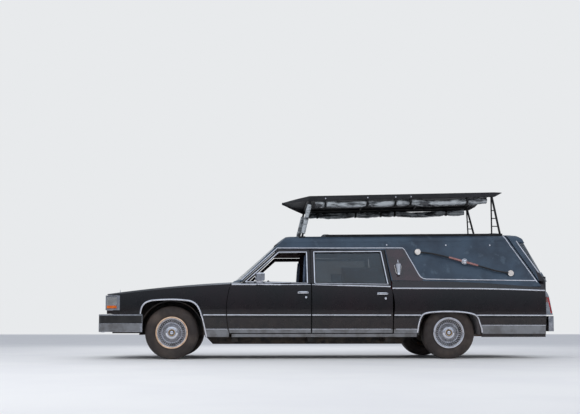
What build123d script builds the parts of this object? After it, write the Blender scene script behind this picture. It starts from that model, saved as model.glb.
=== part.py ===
from build123d import *
from math import cos, radians, sin, sqrt
import os

# A long family-car hearse turned into an open-roofed tour car, on its four wheels.
# Millimetres. +Z is up from the ground, -X is the front of the car and -Y its left side.

# Driving dimensions
WHEELBASE = 3800
FRONT_AXLE_X = -2100
REAR_AXLE_X = FRONT_AXLE_X + WHEELBASE
HALF_LENGTH = 3170
HALF_WIDTH = 968
HALF_TRACK = 785
TYRE_R = 359
TYRE_W = 220
RIM_R = 190
AXLE_Z = TYRE_R

# Seams and clearances
SEAM = 8
FRAME_SEAM = 15
REAR_SEAM = 20
TOUCH = 0.3
AXIS_PROUD = 14

# Walls
PANEL_T = 28
DOOR_T = 105
FRAME_T = 38
WALL_T = 48
GLASS_T = 5
SHEET_T = 10

# Lower body: the sill, the widest height and the sections of each stretch.
SILL_Z = 300
SILL_TUCK = 42
WIDEST_Z = 600
DOOR_FOOT_Z = 354
BELT_X = 905
TAIL_X = 3057
NOSE_X = -2965
COWL_X = -1325
# columns: x, widest y, edge y, edge z, top y, top z
FRONT_SECTIONS = [
    (NOSE_X, 908, 894, 858, 868, 880),
    (FRONT_AXLE_X, 956, 940, 958, 905, 982),
    (-1291, HALF_WIDTH, 946, 1020, 872, 1044),
]
CABIN_SECTIONS = [
    (-1291, HALF_WIDTH, 946, 1020, 872, 1044),
    (BELT_X, HALF_WIDTH, 946, 998, 870, 1036),
]
REAR_SECTIONS = [
    (BELT_X, HALF_WIDTH, 946, 974, 852, 1084),
    (2100, 966, 942, 968, 850, 1076),
    (TAIL_X, 938, 915, 950, 838, 1062),
]
SILL_END_X = 1240
SILL_SECTIONS = [CABIN_SECTIONS[0], (SILL_END_X + 5,) + CABIN_SECTIONS[1][1:]]
HOOD_CROWN = 34
HOOD_HALF = 728

# Upper body: one section that rises a little to the rear, with a slanted nose and tail.
ROOF_RISE = 0.014
BASE = (868, 1030)
DRIP = (705, 1535)
EAVE = (687, 1612)
EAVE_MID = (664, 1676)
ROOF_EDGE = (596, 1706)
CROWN_Z = 1764
NOSE_REF_Z = 1068
SCREEN_X = -1315
SCREEN_SIDE_X = -1195
SCREEN_LEAN = 1.11
TAIL_REF_Z = 1400
TAIL_SEAM_X = 2784
TAIL_LEAN = 0.58
ROOF_CUT = (75, 2480)
ROOF_CUT_HALF = 552

# Door outlines in the side view
FRONT_SEAM_TOP = (-1298, 1046)
FRONT_SEAM_MID = (-1362, 700)
FRONT_SEAM_FOOT = (-1322, DOOR_FOOT_Z)
MID_SEAM_X = -209
REAR_SEAM_TOP = (838, 1516)
REAR_SEAM_BELT = (908, 1040)
REAR_SEAM_WAIST = (884, 978)
REAR_SEAM_MID = (925, 800)
REAR_SEAM_FOOT = (914, DOOR_FOOT_Z)
PILLAR_FOOT = (-1142, 1058)
PILLAR_TOP = (-652, 1514)
DOOR_TOP_Z = 1520
HINGE_Y = HALF_WIDTH + AXIS_PROUD
FRONT_HINGE_X = FRONT_SEAM_MID[0] - 2
REAR_HINGE_X = MID_SEAM_X + 1


# Drawing helpers

def side_at(y):
    return lambda x, z: (x, y, z)


def station_at(x):
    return lambda y, z: (x, y, z)


def plan_at(z):
    return lambda x, y: (x, y, z)


def outline(points, place):
    """Face inside a closed loop, where (a, b) ends a line and (middle, end) ends an arc."""
    edges = []
    last = points[0]
    for entry in list(points[1:]) + [points[0]]:
        middle, end = entry if isinstance(entry[0], tuple) else (None, entry)
        if end == last:
            continue
        if middle is None:
            edges.append(Line(place(*last), place(*end)))
        else:
            edges.append(ThreePointArc(place(*last), place(*middle), place(*end)))
        last = end
    return Face(Wire(edges))


def mirrored(half, crown_z=None):
    """Whole section from its half at y > 0, given from the bottom up."""
    loop = list(half)
    ends = [entry[1] if isinstance(entry[0], tuple) else entry for entry in half]
    top_y, top_z = ends[-1]
    loop.append((-top_y, top_z) if crown_z is None else ((0, crown_z), (-top_y, top_z)))
    for index in range(len(half) - 1, 0, -1):
        back = (-ends[index - 1][0], ends[index - 1][1])
        entry = half[index]
        if isinstance(entry[0], tuple):
            back = ((-entry[0][0], entry[0][1]), back)
        loop.append(back)
    return loop


def push(face, length, direction):
    """Prism on a face, so long along its main axis, that may lean."""
    lean = Vector(*direction)
    return extrude(face, amount=length * lean.length / max(abs(c) for c in direction), dir=direction)


def beside(point, shift):
    """Side-view point moved along the car."""
    return (point[0] + shift, point[1])


def slab(x0, x1, y0, y1, z0, z1):
    return Pos((x0 + x1) / 2, (y0 + y1) / 2, (z0 + z1) / 2) * Box(x1 - x0, y1 - y0, z1 - z0)


def side_prism(points, y0, y1):
    return push(outline(points, side_at(y0)), y1 - y0, (0, 1, 0))


def plan_prism(points, z0, z1):
    return push(outline(points, plan_at(z0)), z1 - z0, (0, 0, 1))


def rod(start, end, radius):
    line = Vector(*end) - Vector(*start)
    plane = Plane(origin=start, z_dir=line)
    return extrude(plane * Circle(radius), amount=line.length)


def pipe(points, radius, bend):
    """Round tube or bar along straight runs with arcs of one bend radius."""
    path = FilletPolyline(*points, radius=bend) if len(points) > 2 else Line(*points)
    plane = Plane(origin=path @ 0, z_dir=path % 0)
    return sweep(plane * Circle(radius), path=path)


def pair(shape):
    return [shape, mirror(shape, about=Plane.XZ)]


def solids_of(shapes):
    found = []
    for shape in shapes if isinstance(shapes, (list, tuple)) else [shapes]:
        found += list(shape.solids())
    return found


def save(node, shapes):
    found = solids_of(shapes)
    piece = found[0] if len(found) == 1 else Compound(children=found)
    piece.label = node
    export_step(piece, "parts/" + node + ".step")


# Body blocks that the panels are cut from

def lower_section(row, wall, open_below):
    x, widest, edge_y, edge_z, top_y, top_z = row
    foot_z = SILL_Z - 150 if open_below else SILL_Z
    half = [
        (widest - SILL_TUCK - wall, foot_z),
        ((widest - wall, WIDEST_Z), (edge_y - wall, edge_z - wall / 2)),
        (top_y - wall, top_z - wall),
    ]
    return half


def lower_block(rows, wall=0, crown=0, open_below=False):
    faces = []
    for row in rows:
        half = lower_section(row, wall, open_below)
        crown_z = half[-1][1] + crown if crown else None
        faces.append(outline(mirrored(half, crown_z), station_at(row[0])))
    return loft(faces)


def upper_section(inset, x, drop):
    slope_y = (BASE[0] - DRIP[0]) / (DRIP[1] - BASE[1])
    half = [
        (BASE[0] + drop * slope_y - inset, BASE[1] - drop + ROOF_RISE * x),
        (DRIP[0] - inset, DRIP[1] + ROOF_RISE * x),
        (EAVE[0] - inset, EAVE[1] + ROOF_RISE * x),
        (
            (EAVE_MID[0] - inset, EAVE_MID[1] - inset / 2 + ROOF_RISE * x),
            (ROOF_EDGE[0] - inset / 2, ROOF_EDGE[1] - inset + ROOF_RISE * x),
        ),
    ]
    return outline(mirrored(half, CROWN_Z - inset + ROOF_RISE * x), station_at(x))


def screen_x(y, z, inset=0):
    """X of the windscreen's face."""
    sag = SCREEN_SIDE_X - SCREEN_X
    half = 790
    radius = (half**2 + sag**2) / (2 * sag)
    return SCREEN_X + inset + radius - sqrt(radius**2 - y**2) + SCREEN_LEAN * (z - NOSE_REF_Z)


def nose_prism(inset):
    """Everything behind the windscreen's face."""
    foot_z = 900
    y = 950
    side_x = screen_x(y, foot_z, inset)
    mid_x = screen_x(0, foot_z, inset)
    loop = [(side_x, -y), ((mid_x, 0), (side_x, y)), (4200, y), (4200, -y)]
    return push(outline(loop, plan_at(foot_z)), 1100, (SCREEN_LEAN, 0, 1))


def tail_prism(inset):
    """Everything ahead of the tail's face, which wraps round the rear corners."""
    foot_z = 900
    shift = TAIL_LEAN * (TAIL_REF_Z - foot_z)
    out = 40
    loop = [
        (-3000, 900),
        (TAIL_SEAM_X + 110 + shift, 900),
        (TAIL_SEAM_X + 110 + shift, 752 + out - inset),
        ((TAIL_SEAM_X + 198 + shift - inset * 0.7, 704 - inset * 0.7), (3018 + shift - inset, 575 - inset)),
        ((3038 + shift - inset, 0), (3018 + shift - inset, -575 + inset)),
        ((TAIL_SEAM_X + 198 + shift - inset * 0.7, -704 + inset * 0.7),
         (TAIL_SEAM_X + 110 + shift, -752 - out + inset)),
        (TAIL_SEAM_X + 110 + shift, -900),
        (-3000, -900),
    ]
    return push(outline(loop, plan_at(foot_z)), 1100, (-TAIL_LEAN, 0, 1))


def seam_x(z):
    """X of the rear door's seam."""
    return TAIL_SEAM_X + TAIL_LEAN * (TAIL_REF_Z - z)


def roof_silhouette(inset):
    """Side view of the upper body, with its rounded brow and rear edge."""
    return side_prism(
        [
            (-1500, 930),
            (-1500, 1130),
            (-760 + inset, 1548),
            ((-520 + inset * 0.7, 1712 - inset), (-60, CROWN_Z + 6 - inset)),
            (200, 1850 - inset),
            (2560, 1850 - inset),
            ((2720, 1762 - inset), (2880 - inset, 1650 - inset)),
            (3400, 900),
        ],
        -960,
        960,
    )


def upper_block(inset=0, drop=70):
    section = push(upper_section(inset, -1600, drop), 5200, (1, 0, ROOF_RISE))
    return section & nose_prism(inset * 1.4) & tail_prism(inset) & roof_silhouette(inset)


FRONT_BLOCK = lower_block(FRONT_SECTIONS, crown=HOOD_CROWN)
FRONT_HOLLOW = lower_block(FRONT_SECTIONS, PANEL_T, HOOD_CROWN, True)
CABIN_BLOCK = lower_block(CABIN_SECTIONS)
REAR_BLOCK = lower_block(REAR_SECTIONS)
REAR_HOLLOW = lower_block(REAR_SECTIONS, PANEL_T, 0, True)
UPPER_BLOCK = upper_block()
UPPER_HOLLOW = upper_block(WALL_T, 120)
UPPER_SHELL = UPPER_BLOCK - UPPER_HOLLOW
FRONT_LINER = lower_block(FRONT_SECTIONS, PANEL_T + TOUCH, HOOD_CROWN, True)
REAR_LINER = lower_block(REAR_SECTIONS, PANEL_T + TOUCH, 0, True)


# Wheels

def revolve_about_y(points, x, y, z, out):
    """Ring from its (distance outboard, radius) outline about a wheel's axis."""
    loop = outline(points, lambda a, r: (x, y + out * a, z + r))
    return revolve(loop, axis=Axis((x, y, z), (0, 1, 0)))


TREAD_HALF = 88
BEAD_HALF = 75
DISC_A = 46


def tyre(x, y, out):
    wall_mid = TYRE_R - 84
    half = TYRE_W / 2
    return revolve_about_y(
        [
            (-BEAD_HALF, RIM_R + TOUCH), (-BEAD_HALF, RIM_R + 17),
            ((-half, wall_mid), (-TREAD_HALF, TYRE_R - 9)),
            (-TREAD_HALF + 14, TYRE_R),
            (TREAD_HALF - 14, TYRE_R),
            (TREAD_HALF, TYRE_R - 9),
            ((half, wall_mid), (BEAD_HALF, RIM_R + 17)), (BEAD_HALF, RIM_R + TOUCH),
            (BEAD_HALF - 14, RIM_R + TOUCH),
            ((half - 14, wall_mid), (TREAD_HALF - 18, TYRE_R - 22)),
            (-TREAD_HALF + 18, TYRE_R - 22),
            ((-half + 14, wall_mid), (-BEAD_HALF + 14, RIM_R + TOUCH)),
        ],
        x, y, AXLE_Z, out,
    )


COVER_R = 216
SLOTS = 30


def wheel(x, y, out):
    """Steel rim and disc with a domed wire-pattern cover, slotted all round."""
    rim = revolve_about_y(
        [
            (-84, RIM_R + 14), (-80, RIM_R + 14), (-78.5, RIM_R), (78.5, RIM_R), (80, RIM_R + 14), (84, RIM_R + 14),
            (84, RIM_R - 12), (60, RIM_R - 16), (34, RIM_R - 30), (-60, RIM_R - 30), (-84, RIM_R - 6),
        ],
        x, y, AXLE_Z, out,
    )
    disc = revolve_about_y(
        [(20, 0), (20, RIM_R - 30), (DISC_A - 8, RIM_R - 30), (DISC_A, 120), (DISC_A, 0)], x, y, AXLE_Z, out
    )
    cover = revolve_about_y(
        [
            (DISC_A, 0), (96, 0), (96, 34), (88, 44), (80, 52), ((74, 110), (84, 160)), (92, 176), (97, 196),
            (94, COVER_R), (90, COVER_R), (86, 178), (76, 160), (66, 110), (DISC_A, 60),
        ],
        x, y, AXLE_Z, out,
    )
    slot = Pos(x, y + out * 82, AXLE_Z) * Rot(0, 0, 0) * slab(-5, 5, -16, 16, 66, 148)
    slots = [Pos(x, 0, AXLE_Z) * Rot(0, 360 / SLOTS * i, 0) * Pos(-x, 0, -AXLE_Z) * slot for i in range(SLOTS)]
    return (rim + disc + cover) - slots


WHEELS = [
    ("front_left", FRONT_AXLE_X, -1),
    ("front_right", FRONT_AXLE_X, 1),
    ("rear_left", REAR_AXLE_X, -1),
    ("rear_right", REAR_AXLE_X, 1),
]


# Chassis and running gear

RAIL_IN = 395
RAIL_OUT = 462
RAIL_BOTTOM = 200
RAIL_TOP = 305
KINGPIN_Y = 715
ARM_Z_LOW = 238
ARM_Z_HIGH = 486


def chassis_frame():
    rail = side_prism(
        [
            (-2960, 350), (-1700, 350), (-1560, RAIL_BOTTOM), (1120, RAIL_BOTTOM), (1330, 470), (2050, 470),
            (2300, 380), (3060, 380), (3060, 470), (2320, 470), (2080, 560), (1290, 560), (1080, RAIL_TOP),
            (-1530, RAIL_TOP), (-1680, 450), (-2960, 450),
        ],
        -RAIL_OUT, -RAIL_IN,
    )
    whole = rail + mirror(rail, about=Plane.XZ)
    # columns: x, length, bottom z, top z
    for x, length, z0, z1 in [
        (-2880, 60, 360, 440), (-2180, 90, 355, 430), (-1400, 70, 205, 262), (-100, 70, 205, 262),
        (980, 70, 205, 262), (2160, 70, 470, 528), (3020, 60, 385, 465),
    ]:
        whole += slab(x - length / 2, x + length / 2, -RAIL_IN - 5, RAIL_IN + 5, z0, z1)
    for x in (-1250, -209, 860):
        for side in (-1, 1):
            y0, y1 = sorted((side * (RAIL_OUT - 5), side * 840))
            whole += slab(x - 40, x + 40, y0, y1, 235, 296)
    return whole


def arm(hub_x, hub_y, z, thick, feet, inner_y):
    """Wishbone whose boss is round the kingpin."""
    boss_r = 30
    plate = plan_prism(
        [
            (hub_x - boss_r, -hub_y), (hub_x - feet, -inner_y), (hub_x - feet + 60, -inner_y), (hub_x, -hub_y + 120),
            (hub_x + feet - 60, -inner_y), (hub_x + feet, -inner_y), (hub_x + boss_r, -hub_y),
        ],
        z - thick / 2, z + thick / 2,
    )
    boss = rod((hub_x, -hub_y, z - thick / 2), (hub_x, -hub_y, z + thick / 2), boss_r)
    return plate + boss


def front_suspension():
    low = arm(FRONT_AXLE_X, KINGPIN_Y, ARM_Z_LOW, 26, 170, RAIL_IN)
    low -= slab(FRONT_AXLE_X - 300, FRONT_AXLE_X + 300, -RAIL_OUT, -RAIL_IN + 10, 350, 460)
    spring = rod((FRONT_AXLE_X, -560, ARM_Z_LOW), (FRONT_AXLE_X, -560, 600), 52)
    tower = slab(FRONT_AXLE_X - 80, FRONT_AXLE_X + 80, -600, -RAIL_OUT, 600, 640)
    leg = slab(FRONT_AXLE_X - 80, FRONT_AXLE_X + 80, -RAIL_OUT - 20, -RAIL_OUT, 320, 640)
    high = arm(FRONT_AXLE_X, KINGPIN_Y, ARM_Z_HIGH, 22, 120, RAIL_OUT)
    high -= rod((FRONT_AXLE_X, -560, 400), (FRONT_AXLE_X, -560, 600), 60)
    high += leg
    bush_post = slab(FRONT_AXLE_X - 170, FRONT_AXLE_X + 170, -RAIL_OUT, -RAIL_IN, ARM_Z_LOW - 13, 350)
    one = low + spring + tower + high + bush_post
    return pair(one)


def knuckle(side):
    y = side * KINGPIN_Y
    low_z = ARM_Z_LOW + 13 + TOUCH
    high_z = ARM_Z_HIGH - 11 - TOUCH
    post = rod((FRONT_AXLE_X, y, low_z), (FRONT_AXLE_X, y, high_z), 24)
    drum = rod((FRONT_AXLE_X, side * (KINGPIN_Y - 12), AXLE_Z), (FRONT_AXLE_X, side * (KINGPIN_Y + 12), AXLE_Z), 100)
    hub = rod((FRONT_AXLE_X, y, AXLE_Z), (FRONT_AXLE_X, side * (HALF_TRACK + 20 - TOUCH), AXLE_Z), 62)
    lever = slab(FRONT_AXLE_X, FRONT_AXLE_X + 150, min(y, y - side * 30), max(y, y - side * 30), AXLE_Z - 60, AXLE_Z - 36)
    return post + drum + hub + lever


def rear_axle():
    end_y = HALF_TRACK + 20 - TOUCH
    axle = rod((REAR_AXLE_X, -end_y, AXLE_Z), (REAR_AXLE_X, end_y, AXLE_Z), 42)
    for side in (-1, 1):
        axle += rod((REAR_AXLE_X, side * 690, AXLE_Z), (REAR_AXLE_X, side * 760, AXLE_Z), 140)
        axle += rod((REAR_AXLE_X, side * 430, AXLE_Z), (REAR_AXLE_X, side * 430, 470), 55)
        y0, y1 = sorted((side * 500, side * 560))
        axle += side_prism([(REAR_AXLE_X - 500, 300), (REAR_AXLE_X - 30, 340), (REAR_AXLE_X + 30, 340),
                            (REAR_AXLE_X + 30, 378), (REAR_AXLE_X - 30, 378), (REAR_AXLE_X - 500, 340)], y0, y1)
    axle += Pos(REAR_AXLE_X, 0, AXLE_Z) * Sphere(135)
    axle += rod((REAR_AXLE_X - 240, 0, AXLE_Z - 8), (REAR_AXLE_X, 0, AXLE_Z), 60)
    axle += rod((-820, 0, 352), (REAR_AXLE_X - 200, 0, 352), 38)
    return axle


def engine():
    block = slab(-2560, -1640, -300, 300, 470, 860) + slab(-2120, -1700, -190, 190, 330, 480)
    gearbox = side_prism([(-1640, 330), (-1640, 700), (-1560, 640), (-820.5, 430), (-820.5, 300), (-1560, 310)], -130, 130)
    radiator = slab(-2800, -2730, -330, 330, 445, 840)
    fan = rod((-2730, 0, 640), (-2560, 0, 640), 60)
    return block + gearbox + radiator + fan


# Floor, firewall and wheelhouses

FLOOR_Z = 335
FLOOR_T = 14
FLOOR_HALF = 821
STEP_X = 1085
STEP_Z = 580
HOUSE_R = 425
HOUSE_T = 8


def arch_shell(x, radius, thick, y0, y1):
    ring = rod((x, y0, AXLE_Z), (x, y1, AXLE_Z), radius + thick) - rod((x, y0 - 1, AXLE_Z), (x, y1 + 1, AXLE_Z), radius)
    ring -= slab(x - 900, x + 900, y0 - 1, y1 + 1, -600, 330)
    cap = rod((x, y1, AXLE_Z), (x, y1 + thick, AXLE_Z), radius + thick)
    cap -= slab(x - 900, x + 900, y1 - 1, y1 + thick + 1, -600, 330)
    return ring + cap


def floor_pan():
    top = FLOOR_Z + FLOOR_T
    step_top = STEP_Z + FLOOR_T
    tunnel = side_prism([(-1215, top), (-1215, 620), (-700, 480), (STEP_X, 480), (STEP_X, top)], -170, 170)
    tunnel_hollow = side_prism(
        [(-1300, 300), (-1300, 606), (-704, 466), (STEP_X + 30, 466), (STEP_X + 30, 300)], -156, 156
    )
    plate = slab(-1215, STEP_X, -FLOOR_HALF, FLOOR_HALF, FLOOR_Z, top)
    plate += slab(STEP_X - FLOOR_T, STEP_X, -FLOOR_HALF, FLOOR_HALF, FLOOR_Z, step_top)
    plate += slab(STEP_X - FLOOR_T, 3040, -FLOOR_HALF, FLOOR_HALF, STEP_Z, step_top)
    plate += slab(3026, 3040, -760, 760, 470, step_top)
    firewall = slab(-1229, -1215, -842, 842, FLOOR_Z, 985)
    pan = (plate + firewall + tunnel) - tunnel_hollow
    house_cut = rod((REAR_AXLE_X, -900, AXLE_Z), (REAR_AXLE_X, -640, AXLE_Z), HOUSE_R + HOUSE_T)
    pan = pan - [house_cut, mirror(house_cut, about=Plane.XZ)]
    house = arch_shell(REAR_AXLE_X, HOUSE_R, HOUSE_T, -1000, -640) & REAR_LINER
    house -= slab(REAR_AXLE_X - 70, REAR_AXLE_X + 70, -660, -620, 300, 480)
    return pan + house + mirror(house, about=Plane.XZ)


def front_wheelhouses():
    house = arch_shell(FRONT_AXLE_X, HOUSE_R, HOUSE_T, -1000, -478) & FRONT_LINER
    house -= slab(FRONT_AXLE_X - 185, FRONT_AXLE_X + 185, -500, -440, 300, 645)
    skirt = slab(-2700, -1500, -478, -470, 465, 800)
    house_inside = rod((FRONT_AXLE_X, -480, AXLE_Z), (FRONT_AXLE_X, -460, AXLE_Z), HOUSE_R)
    return pair(house + (skirt - house_inside))


# Panels

def front_arch_cut(grow=0):
    return side_prism(
        [
            (-2503 - grow, 250), (-2503 - grow, 625), ((-2462, 735 + grow), (-2369, 778 + grow)),
            ((-2100, 794 + grow), (-1834, 765 + grow)), ((-1740 + grow, 690), (-1684 + grow, 507)),
            (-1635 + grow, 250),
        ],
        -1000, 1000,
    )


def rear_arch_cut(grow=0):
    return side_prism(
        [
            (1247 - grow, 250), (1253 - grow, 391), ((1278 - grow, 520), (1323, 599 + grow)),
            ((1700, 642 + grow), (2020, 607 + grow)), ((2110 + grow, 530), (2139 + grow, 410)), (2147 + grow, 250),
        ],
        -1000, 1000,
    )


LAMP_Z = (662, 872)
LAMP_REAR_X = -2788
BUMPER_TOP = 606


def front_fenders():
    shell = FRONT_BLOCK - FRONT_HOLLOW
    side = shell & slab(NOSE_X - 5, -1200, -1000, -(HOOD_HALF + SEAM), 200, 1100)
    rear_cut = side_prism(
        [
            (FRONT_SEAM_TOP[0] - SEAM / 2, 1200), beside(FRONT_SEAM_TOP, -SEAM / 2),
            (beside(FRONT_SEAM_MID, -SEAM / 2), beside(FRONT_SEAM_FOOT, -SEAM / 2)),
            (FRONT_SEAM_FOOT[0] - SEAM / 2, 200), (-1100, 200), (-1100, 1200),
        ],
        -1000, 0,
    )
    lamp_cut = slab(NOSE_X - 20, LAMP_REAR_X, -1000, 0, LAMP_Z[0] - 4, LAMP_Z[1] - 6)
    low_cut = slab(NOSE_X - 20, -2490, -1000, 0, 200, BUMPER_TOP + 6)
    side = side - [rear_cut, lamp_cut, low_cut, front_arch_cut()]
    return pair(side)


def hood():
    shell = FRONT_BLOCK - FRONT_HOLLOW
    lid = shell & slab(NOSE_X + 45, COWL_X - SEAM, -HOOD_HALF, HOOD_HALF, 820, 1200)
    return lid


DECK_Z = (985, 1040, 1074)
DECK_REAR_X = -1090
FRAME_FRONT_X = -1150
POST_IN_Y = 822
POST_OUT_Y = 852


def cowl_deck(half):
    """Crowned deck that carries on from the hood's rear edge under the windscreen."""
    low, edge, crown = DECK_Z
    section = outline(mirrored([(half, low), (half, edge)], crown), station_at(COWL_X))
    return push(section, DECK_REAR_X - COWL_X, (1, 0, 0))


def cowl():
    deck = cowl_deck(POST_OUT_Y + 3)
    for side in (-1, 1):
        y0, y1 = sorted((side * (POST_IN_Y - 10), side * 900))
        deck -= slab(FRAME_FRONT_X - SEAM, -1000, y0, y1, 900, 1100)
        y0, y1 = sorted((side * HOOD_HALF, side * 900))
        deck -= slab(COWL_X - 10, -1291, y0, y1, 900, 1100)
    return deck


def nose_panel():
    """Body-coloured header over the grille, with the panel that carries the lamps."""
    header = (FRONT_BLOCK - FRONT_HOLLOW) & slab(NOSE_X, NOSE_X + 30, -HOOD_HALF, HOOD_HALF, 862, 1000)
    back = slab(NOSE_X + 70, NOSE_X + 82, -860, 860, 470, 844)
    back -= slab(NOSE_X, NOSE_X + 100, -395, 395, 600, 826)
    lip = slab(NOSE_X, NOSE_X + 70, -860, 860, 618, 640)
    for y in (-375, 0, 375):
        header += slab(NOSE_X + 2, NOSE_X + 28, y - 15, y + 15, 830, 940) & FRONT_BLOCK
        header += slab(NOSE_X + 2, NOSE_X + 82, y - 15, y + 15, 828, 844)
    return header + back + lip


GRILLE_HALF = 385
GRILLE_Z = (640, 876)
GRILLE_X = (-3012, NOSE_X - TOUCH)
GRILLE_BARS = 21
GRILLE_ROWS = 6


def grille():
    """Upright chrome shell filled with thin crossing bars."""
    x0, x1 = GRILLE_X
    z0, z1 = GRILLE_Z
    rim = 20
    shell = slab(x0, x1, -GRILLE_HALF, GRILLE_HALF, z0, z1)
    shell -= slab(x0 - 1, x1 + 1, -GRILLE_HALF + rim, GRILLE_HALF - rim, z0 + rim, z1 - 2 * rim)
    pitch = 2 * (GRILLE_HALF - rim) / (GRILLE_BARS + 1)
    bars = []
    for index in range(1, GRILLE_BARS + 1):
        y = -GRILLE_HALF + rim + index * pitch
        bars.append(slab(x0 + 10, x1 - 8, y - 2, y + 2, z0 + rim, z1 - 2 * rim))
    rise = (z1 - z0 - 3 * rim) / (GRILLE_ROWS + 1)
    for index in range(1, GRILLE_ROWS + 1):
        z = z0 + rim + index * rise
        bars.append(slab(x0 + 12, x1 - 10, -GRILLE_HALF + rim, GRILLE_HALF - rim, z - 2, z + 2))
    return shell + bars


LAMP_IN_Y = 398
LAMP_OUT_Y = 902


def headlamps():
    """Chrome bezel that wraps the corner, with two square lenses over a slim side lamp."""
    z0, z1 = LAMP_Z
    body = plan_prism(
        [
            (-2988, -LAMP_IN_Y), (-2988, -862), ((-2981, -890), (-2955, -LAMP_OUT_Y)),
            (LAMP_REAR_X - 4, -LAMP_OUT_Y - 14), (LAMP_REAR_X - 4, -LAMP_OUT_Y + 30), (NOSE_X + 69.7, -LAMP_OUT_Y + 40),
            (NOSE_X + 69.7, -LAMP_IN_Y),
        ],
        z0, z1 - 12,
    )
    for y in (-522, -742):
        body -= slab(-3000, -2966, y - 98, y + 98, z0 + 58, z1 - 26)
    body -= slab(-3000, -2970, -850, -LAMP_IN_Y - 12, z0 + 12, z0 + 46)
    body -= slab(NOSE_X + 29, -2700, -HOOD_HALF - SEAM, 0, 838, 900)
    return pair(body)


BUMPER_Z = (369, 606)
BAND_Z = (484, 590)
PLATE_BOLTS = 177.8
PLATE_BOLT_R = 3.5
PLATE_BOLT_Z = 440


def plate_holes(x0, x1):
    """Holes for a number plate's two bolts."""
    return [rod((x0, y, PLATE_BOLT_Z), (x1, y, PLATE_BOLT_Z), PLATE_BOLT_R) for y in (-PLATE_BOLTS / 2, PLATE_BOLTS / 2)]


def front_bumper():
    """Wrap-round bumper with a bowed face, a groove for the rub band and a tucked lower edge."""
    low, high = BUMPER_Z
    outer = [
        (-2487, -948), (-2900, -940), ((-3040, -912), (-3082, -820)), ((-HALF_LENGTH, 0), (-3082, 820)),
        ((-3040, 912), (-2900, 940)), (-2487, 948), (-2487, 918), (-2900, 908), ((-2985, 895), (-3015, 800)),
        ((-3090, 0), (-3015, -800)), ((-2985, -895), (-2900, -908)), (-2487, -918),
    ]
    bar = plan_prism(outer, low, high)
    groove = [
        (-2480, -960), (-3120, -960), (-3120, 0), (-3120, 960), (-2480, 960), (-2480, 943), (-2897, 935),
        ((-3036, 907), (-3077, 818)), ((-HALF_LENGTH + 5, 0), (-3077, -818)), ((-3036, -907), (-2897, -935)), (-2480, -943),
    ]
    groove[2] = (-HALF_LENGTH - 20, 0)
    groove[1] = (-HALF_LENGTH - 20, -960)
    groove[3] = (-HALF_LENGTH - 20, 960)
    bar -= plan_prism(groove, BAND_Z[0], BAND_Z[1])
    under = side_prism([(-3300, 300), (-3300, 455), (-3100, 369), (-3100, 300)], -1000, 1000)
    brackets = slab(-3095, -2960.3, -440, -420, 380, 450) + slab(-3095, -2960.3, 420, 440, 380, 450)
    return (bar - under) + brackets - plate_holes(-3200, -3000)


def rear_bumper():
    low, high = (378, 590)
    outer = [
        (3090, -945), (3120, -942), ((3160, -930), (3168, -890)), (HALF_LENGTH, 0), (3168, 890),
        ((3160, 930), (3120, 942)), (3090, 945), (2640, 945), (2640, 921), (3080, 915), (3100, 860), (3100, -860),
        (3080, -915), (2640, -921), (2640, -945),
    ]
    bar = plan_prism(outer, low, high) - slab(2600, 3086, -1000, 1000, 300, 700)
    brackets = slab(3060.3, 3105, -440, -420, 390, 460) + slab(3060.3, 3105, 420, 440, 390, 460)
    return bar + brackets - plate_holes(3000, 3200)


# Doors

def front_door_outline(grow=0):
    """Side view of a front door; grow is the seam when it cuts the opening."""
    rear_x = MID_SEAM_X - SEAM + grow
    return [
        (rear_x, DOOR_FOOT_Z - grow), beside(FRONT_SEAM_FOOT, SEAM / 2 - grow),
        (beside(FRONT_SEAM_MID, SEAM / 2 - grow), beside(FRONT_SEAM_TOP, SEAM / 2 - grow)),
        (PILLAR_FOOT[0] - grow, PILLAR_FOOT[1] + grow * 0.3), (PILLAR_TOP[0] - grow, PILLAR_TOP[1] + grow),
        (rear_x, DOOR_TOP_Z + ROOF_RISE * rear_x + grow),
    ]


def rear_door_outline(grow=0):
    front_x = MID_SEAM_X + SEAM - grow
    return [
        (front_x, DOOR_FOOT_Z - grow), (front_x, DOOR_TOP_Z + ROOF_RISE * front_x + grow),
        beside(REAR_SEAM_TOP, grow * 1.6 - 8), (REAR_SEAM_BELT[0] + grow * 1.6 - 8, REAR_SEAM_BELT[1]),
        (REAR_SEAM_WAIST[0] + grow - 4, REAR_SEAM_WAIST[1]),
        (beside(REAR_SEAM_MID, grow - 4), (REAR_SEAM_FOOT[0] + grow - 4, 592)),
        (REAR_SEAM_FOOT[0] + grow - 4, DOOR_FOOT_Z - grow),
    ]


FRONT_WINDOW = [(-1096, 1064), (-268, 1046), (-268, 1470), (-636, 1466)]
REAR_WINDOW = [(-146, 1044), (846, 1036), (776, 1486), (-146, 1474)]
DOOR_HOLLOW = upper_block(FRAME_T)
DOOR_BLOCK = CABIN_BLOCK + (FRONT_BLOCK & slab(-1420, -1291, -1000, 1000, 300, 1200))


def door(points, window):
    skin = side_prism(points, -1000, -560)
    low = DOOR_BLOCK & skin & slab(-1500, 1000, -1000, -(HALF_WIDTH - DOOR_T), 300, 1060)
    frame = (UPPER_BLOCK - DOOR_HOLLOW) & skin & slab(FRAME_FRONT_X, 1000, -1000, 0, 1020, 1600)
    return (low + frame) - side_prism(window, -1000, -500)


def mirror_head():
    """Door mirror on its foot."""
    head = plan_prism(
        [(-852, -965), (-852, -1082), ((-900, -1098), (-960, -1040)), (-975, -965)], 1064, 1166
    )
    head = fillet(head.edges().group_by(Axis.Z)[-1], 18)
    foot = slab(-960, -870, -975, -900, 1005, 1075)
    return head + foot


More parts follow.
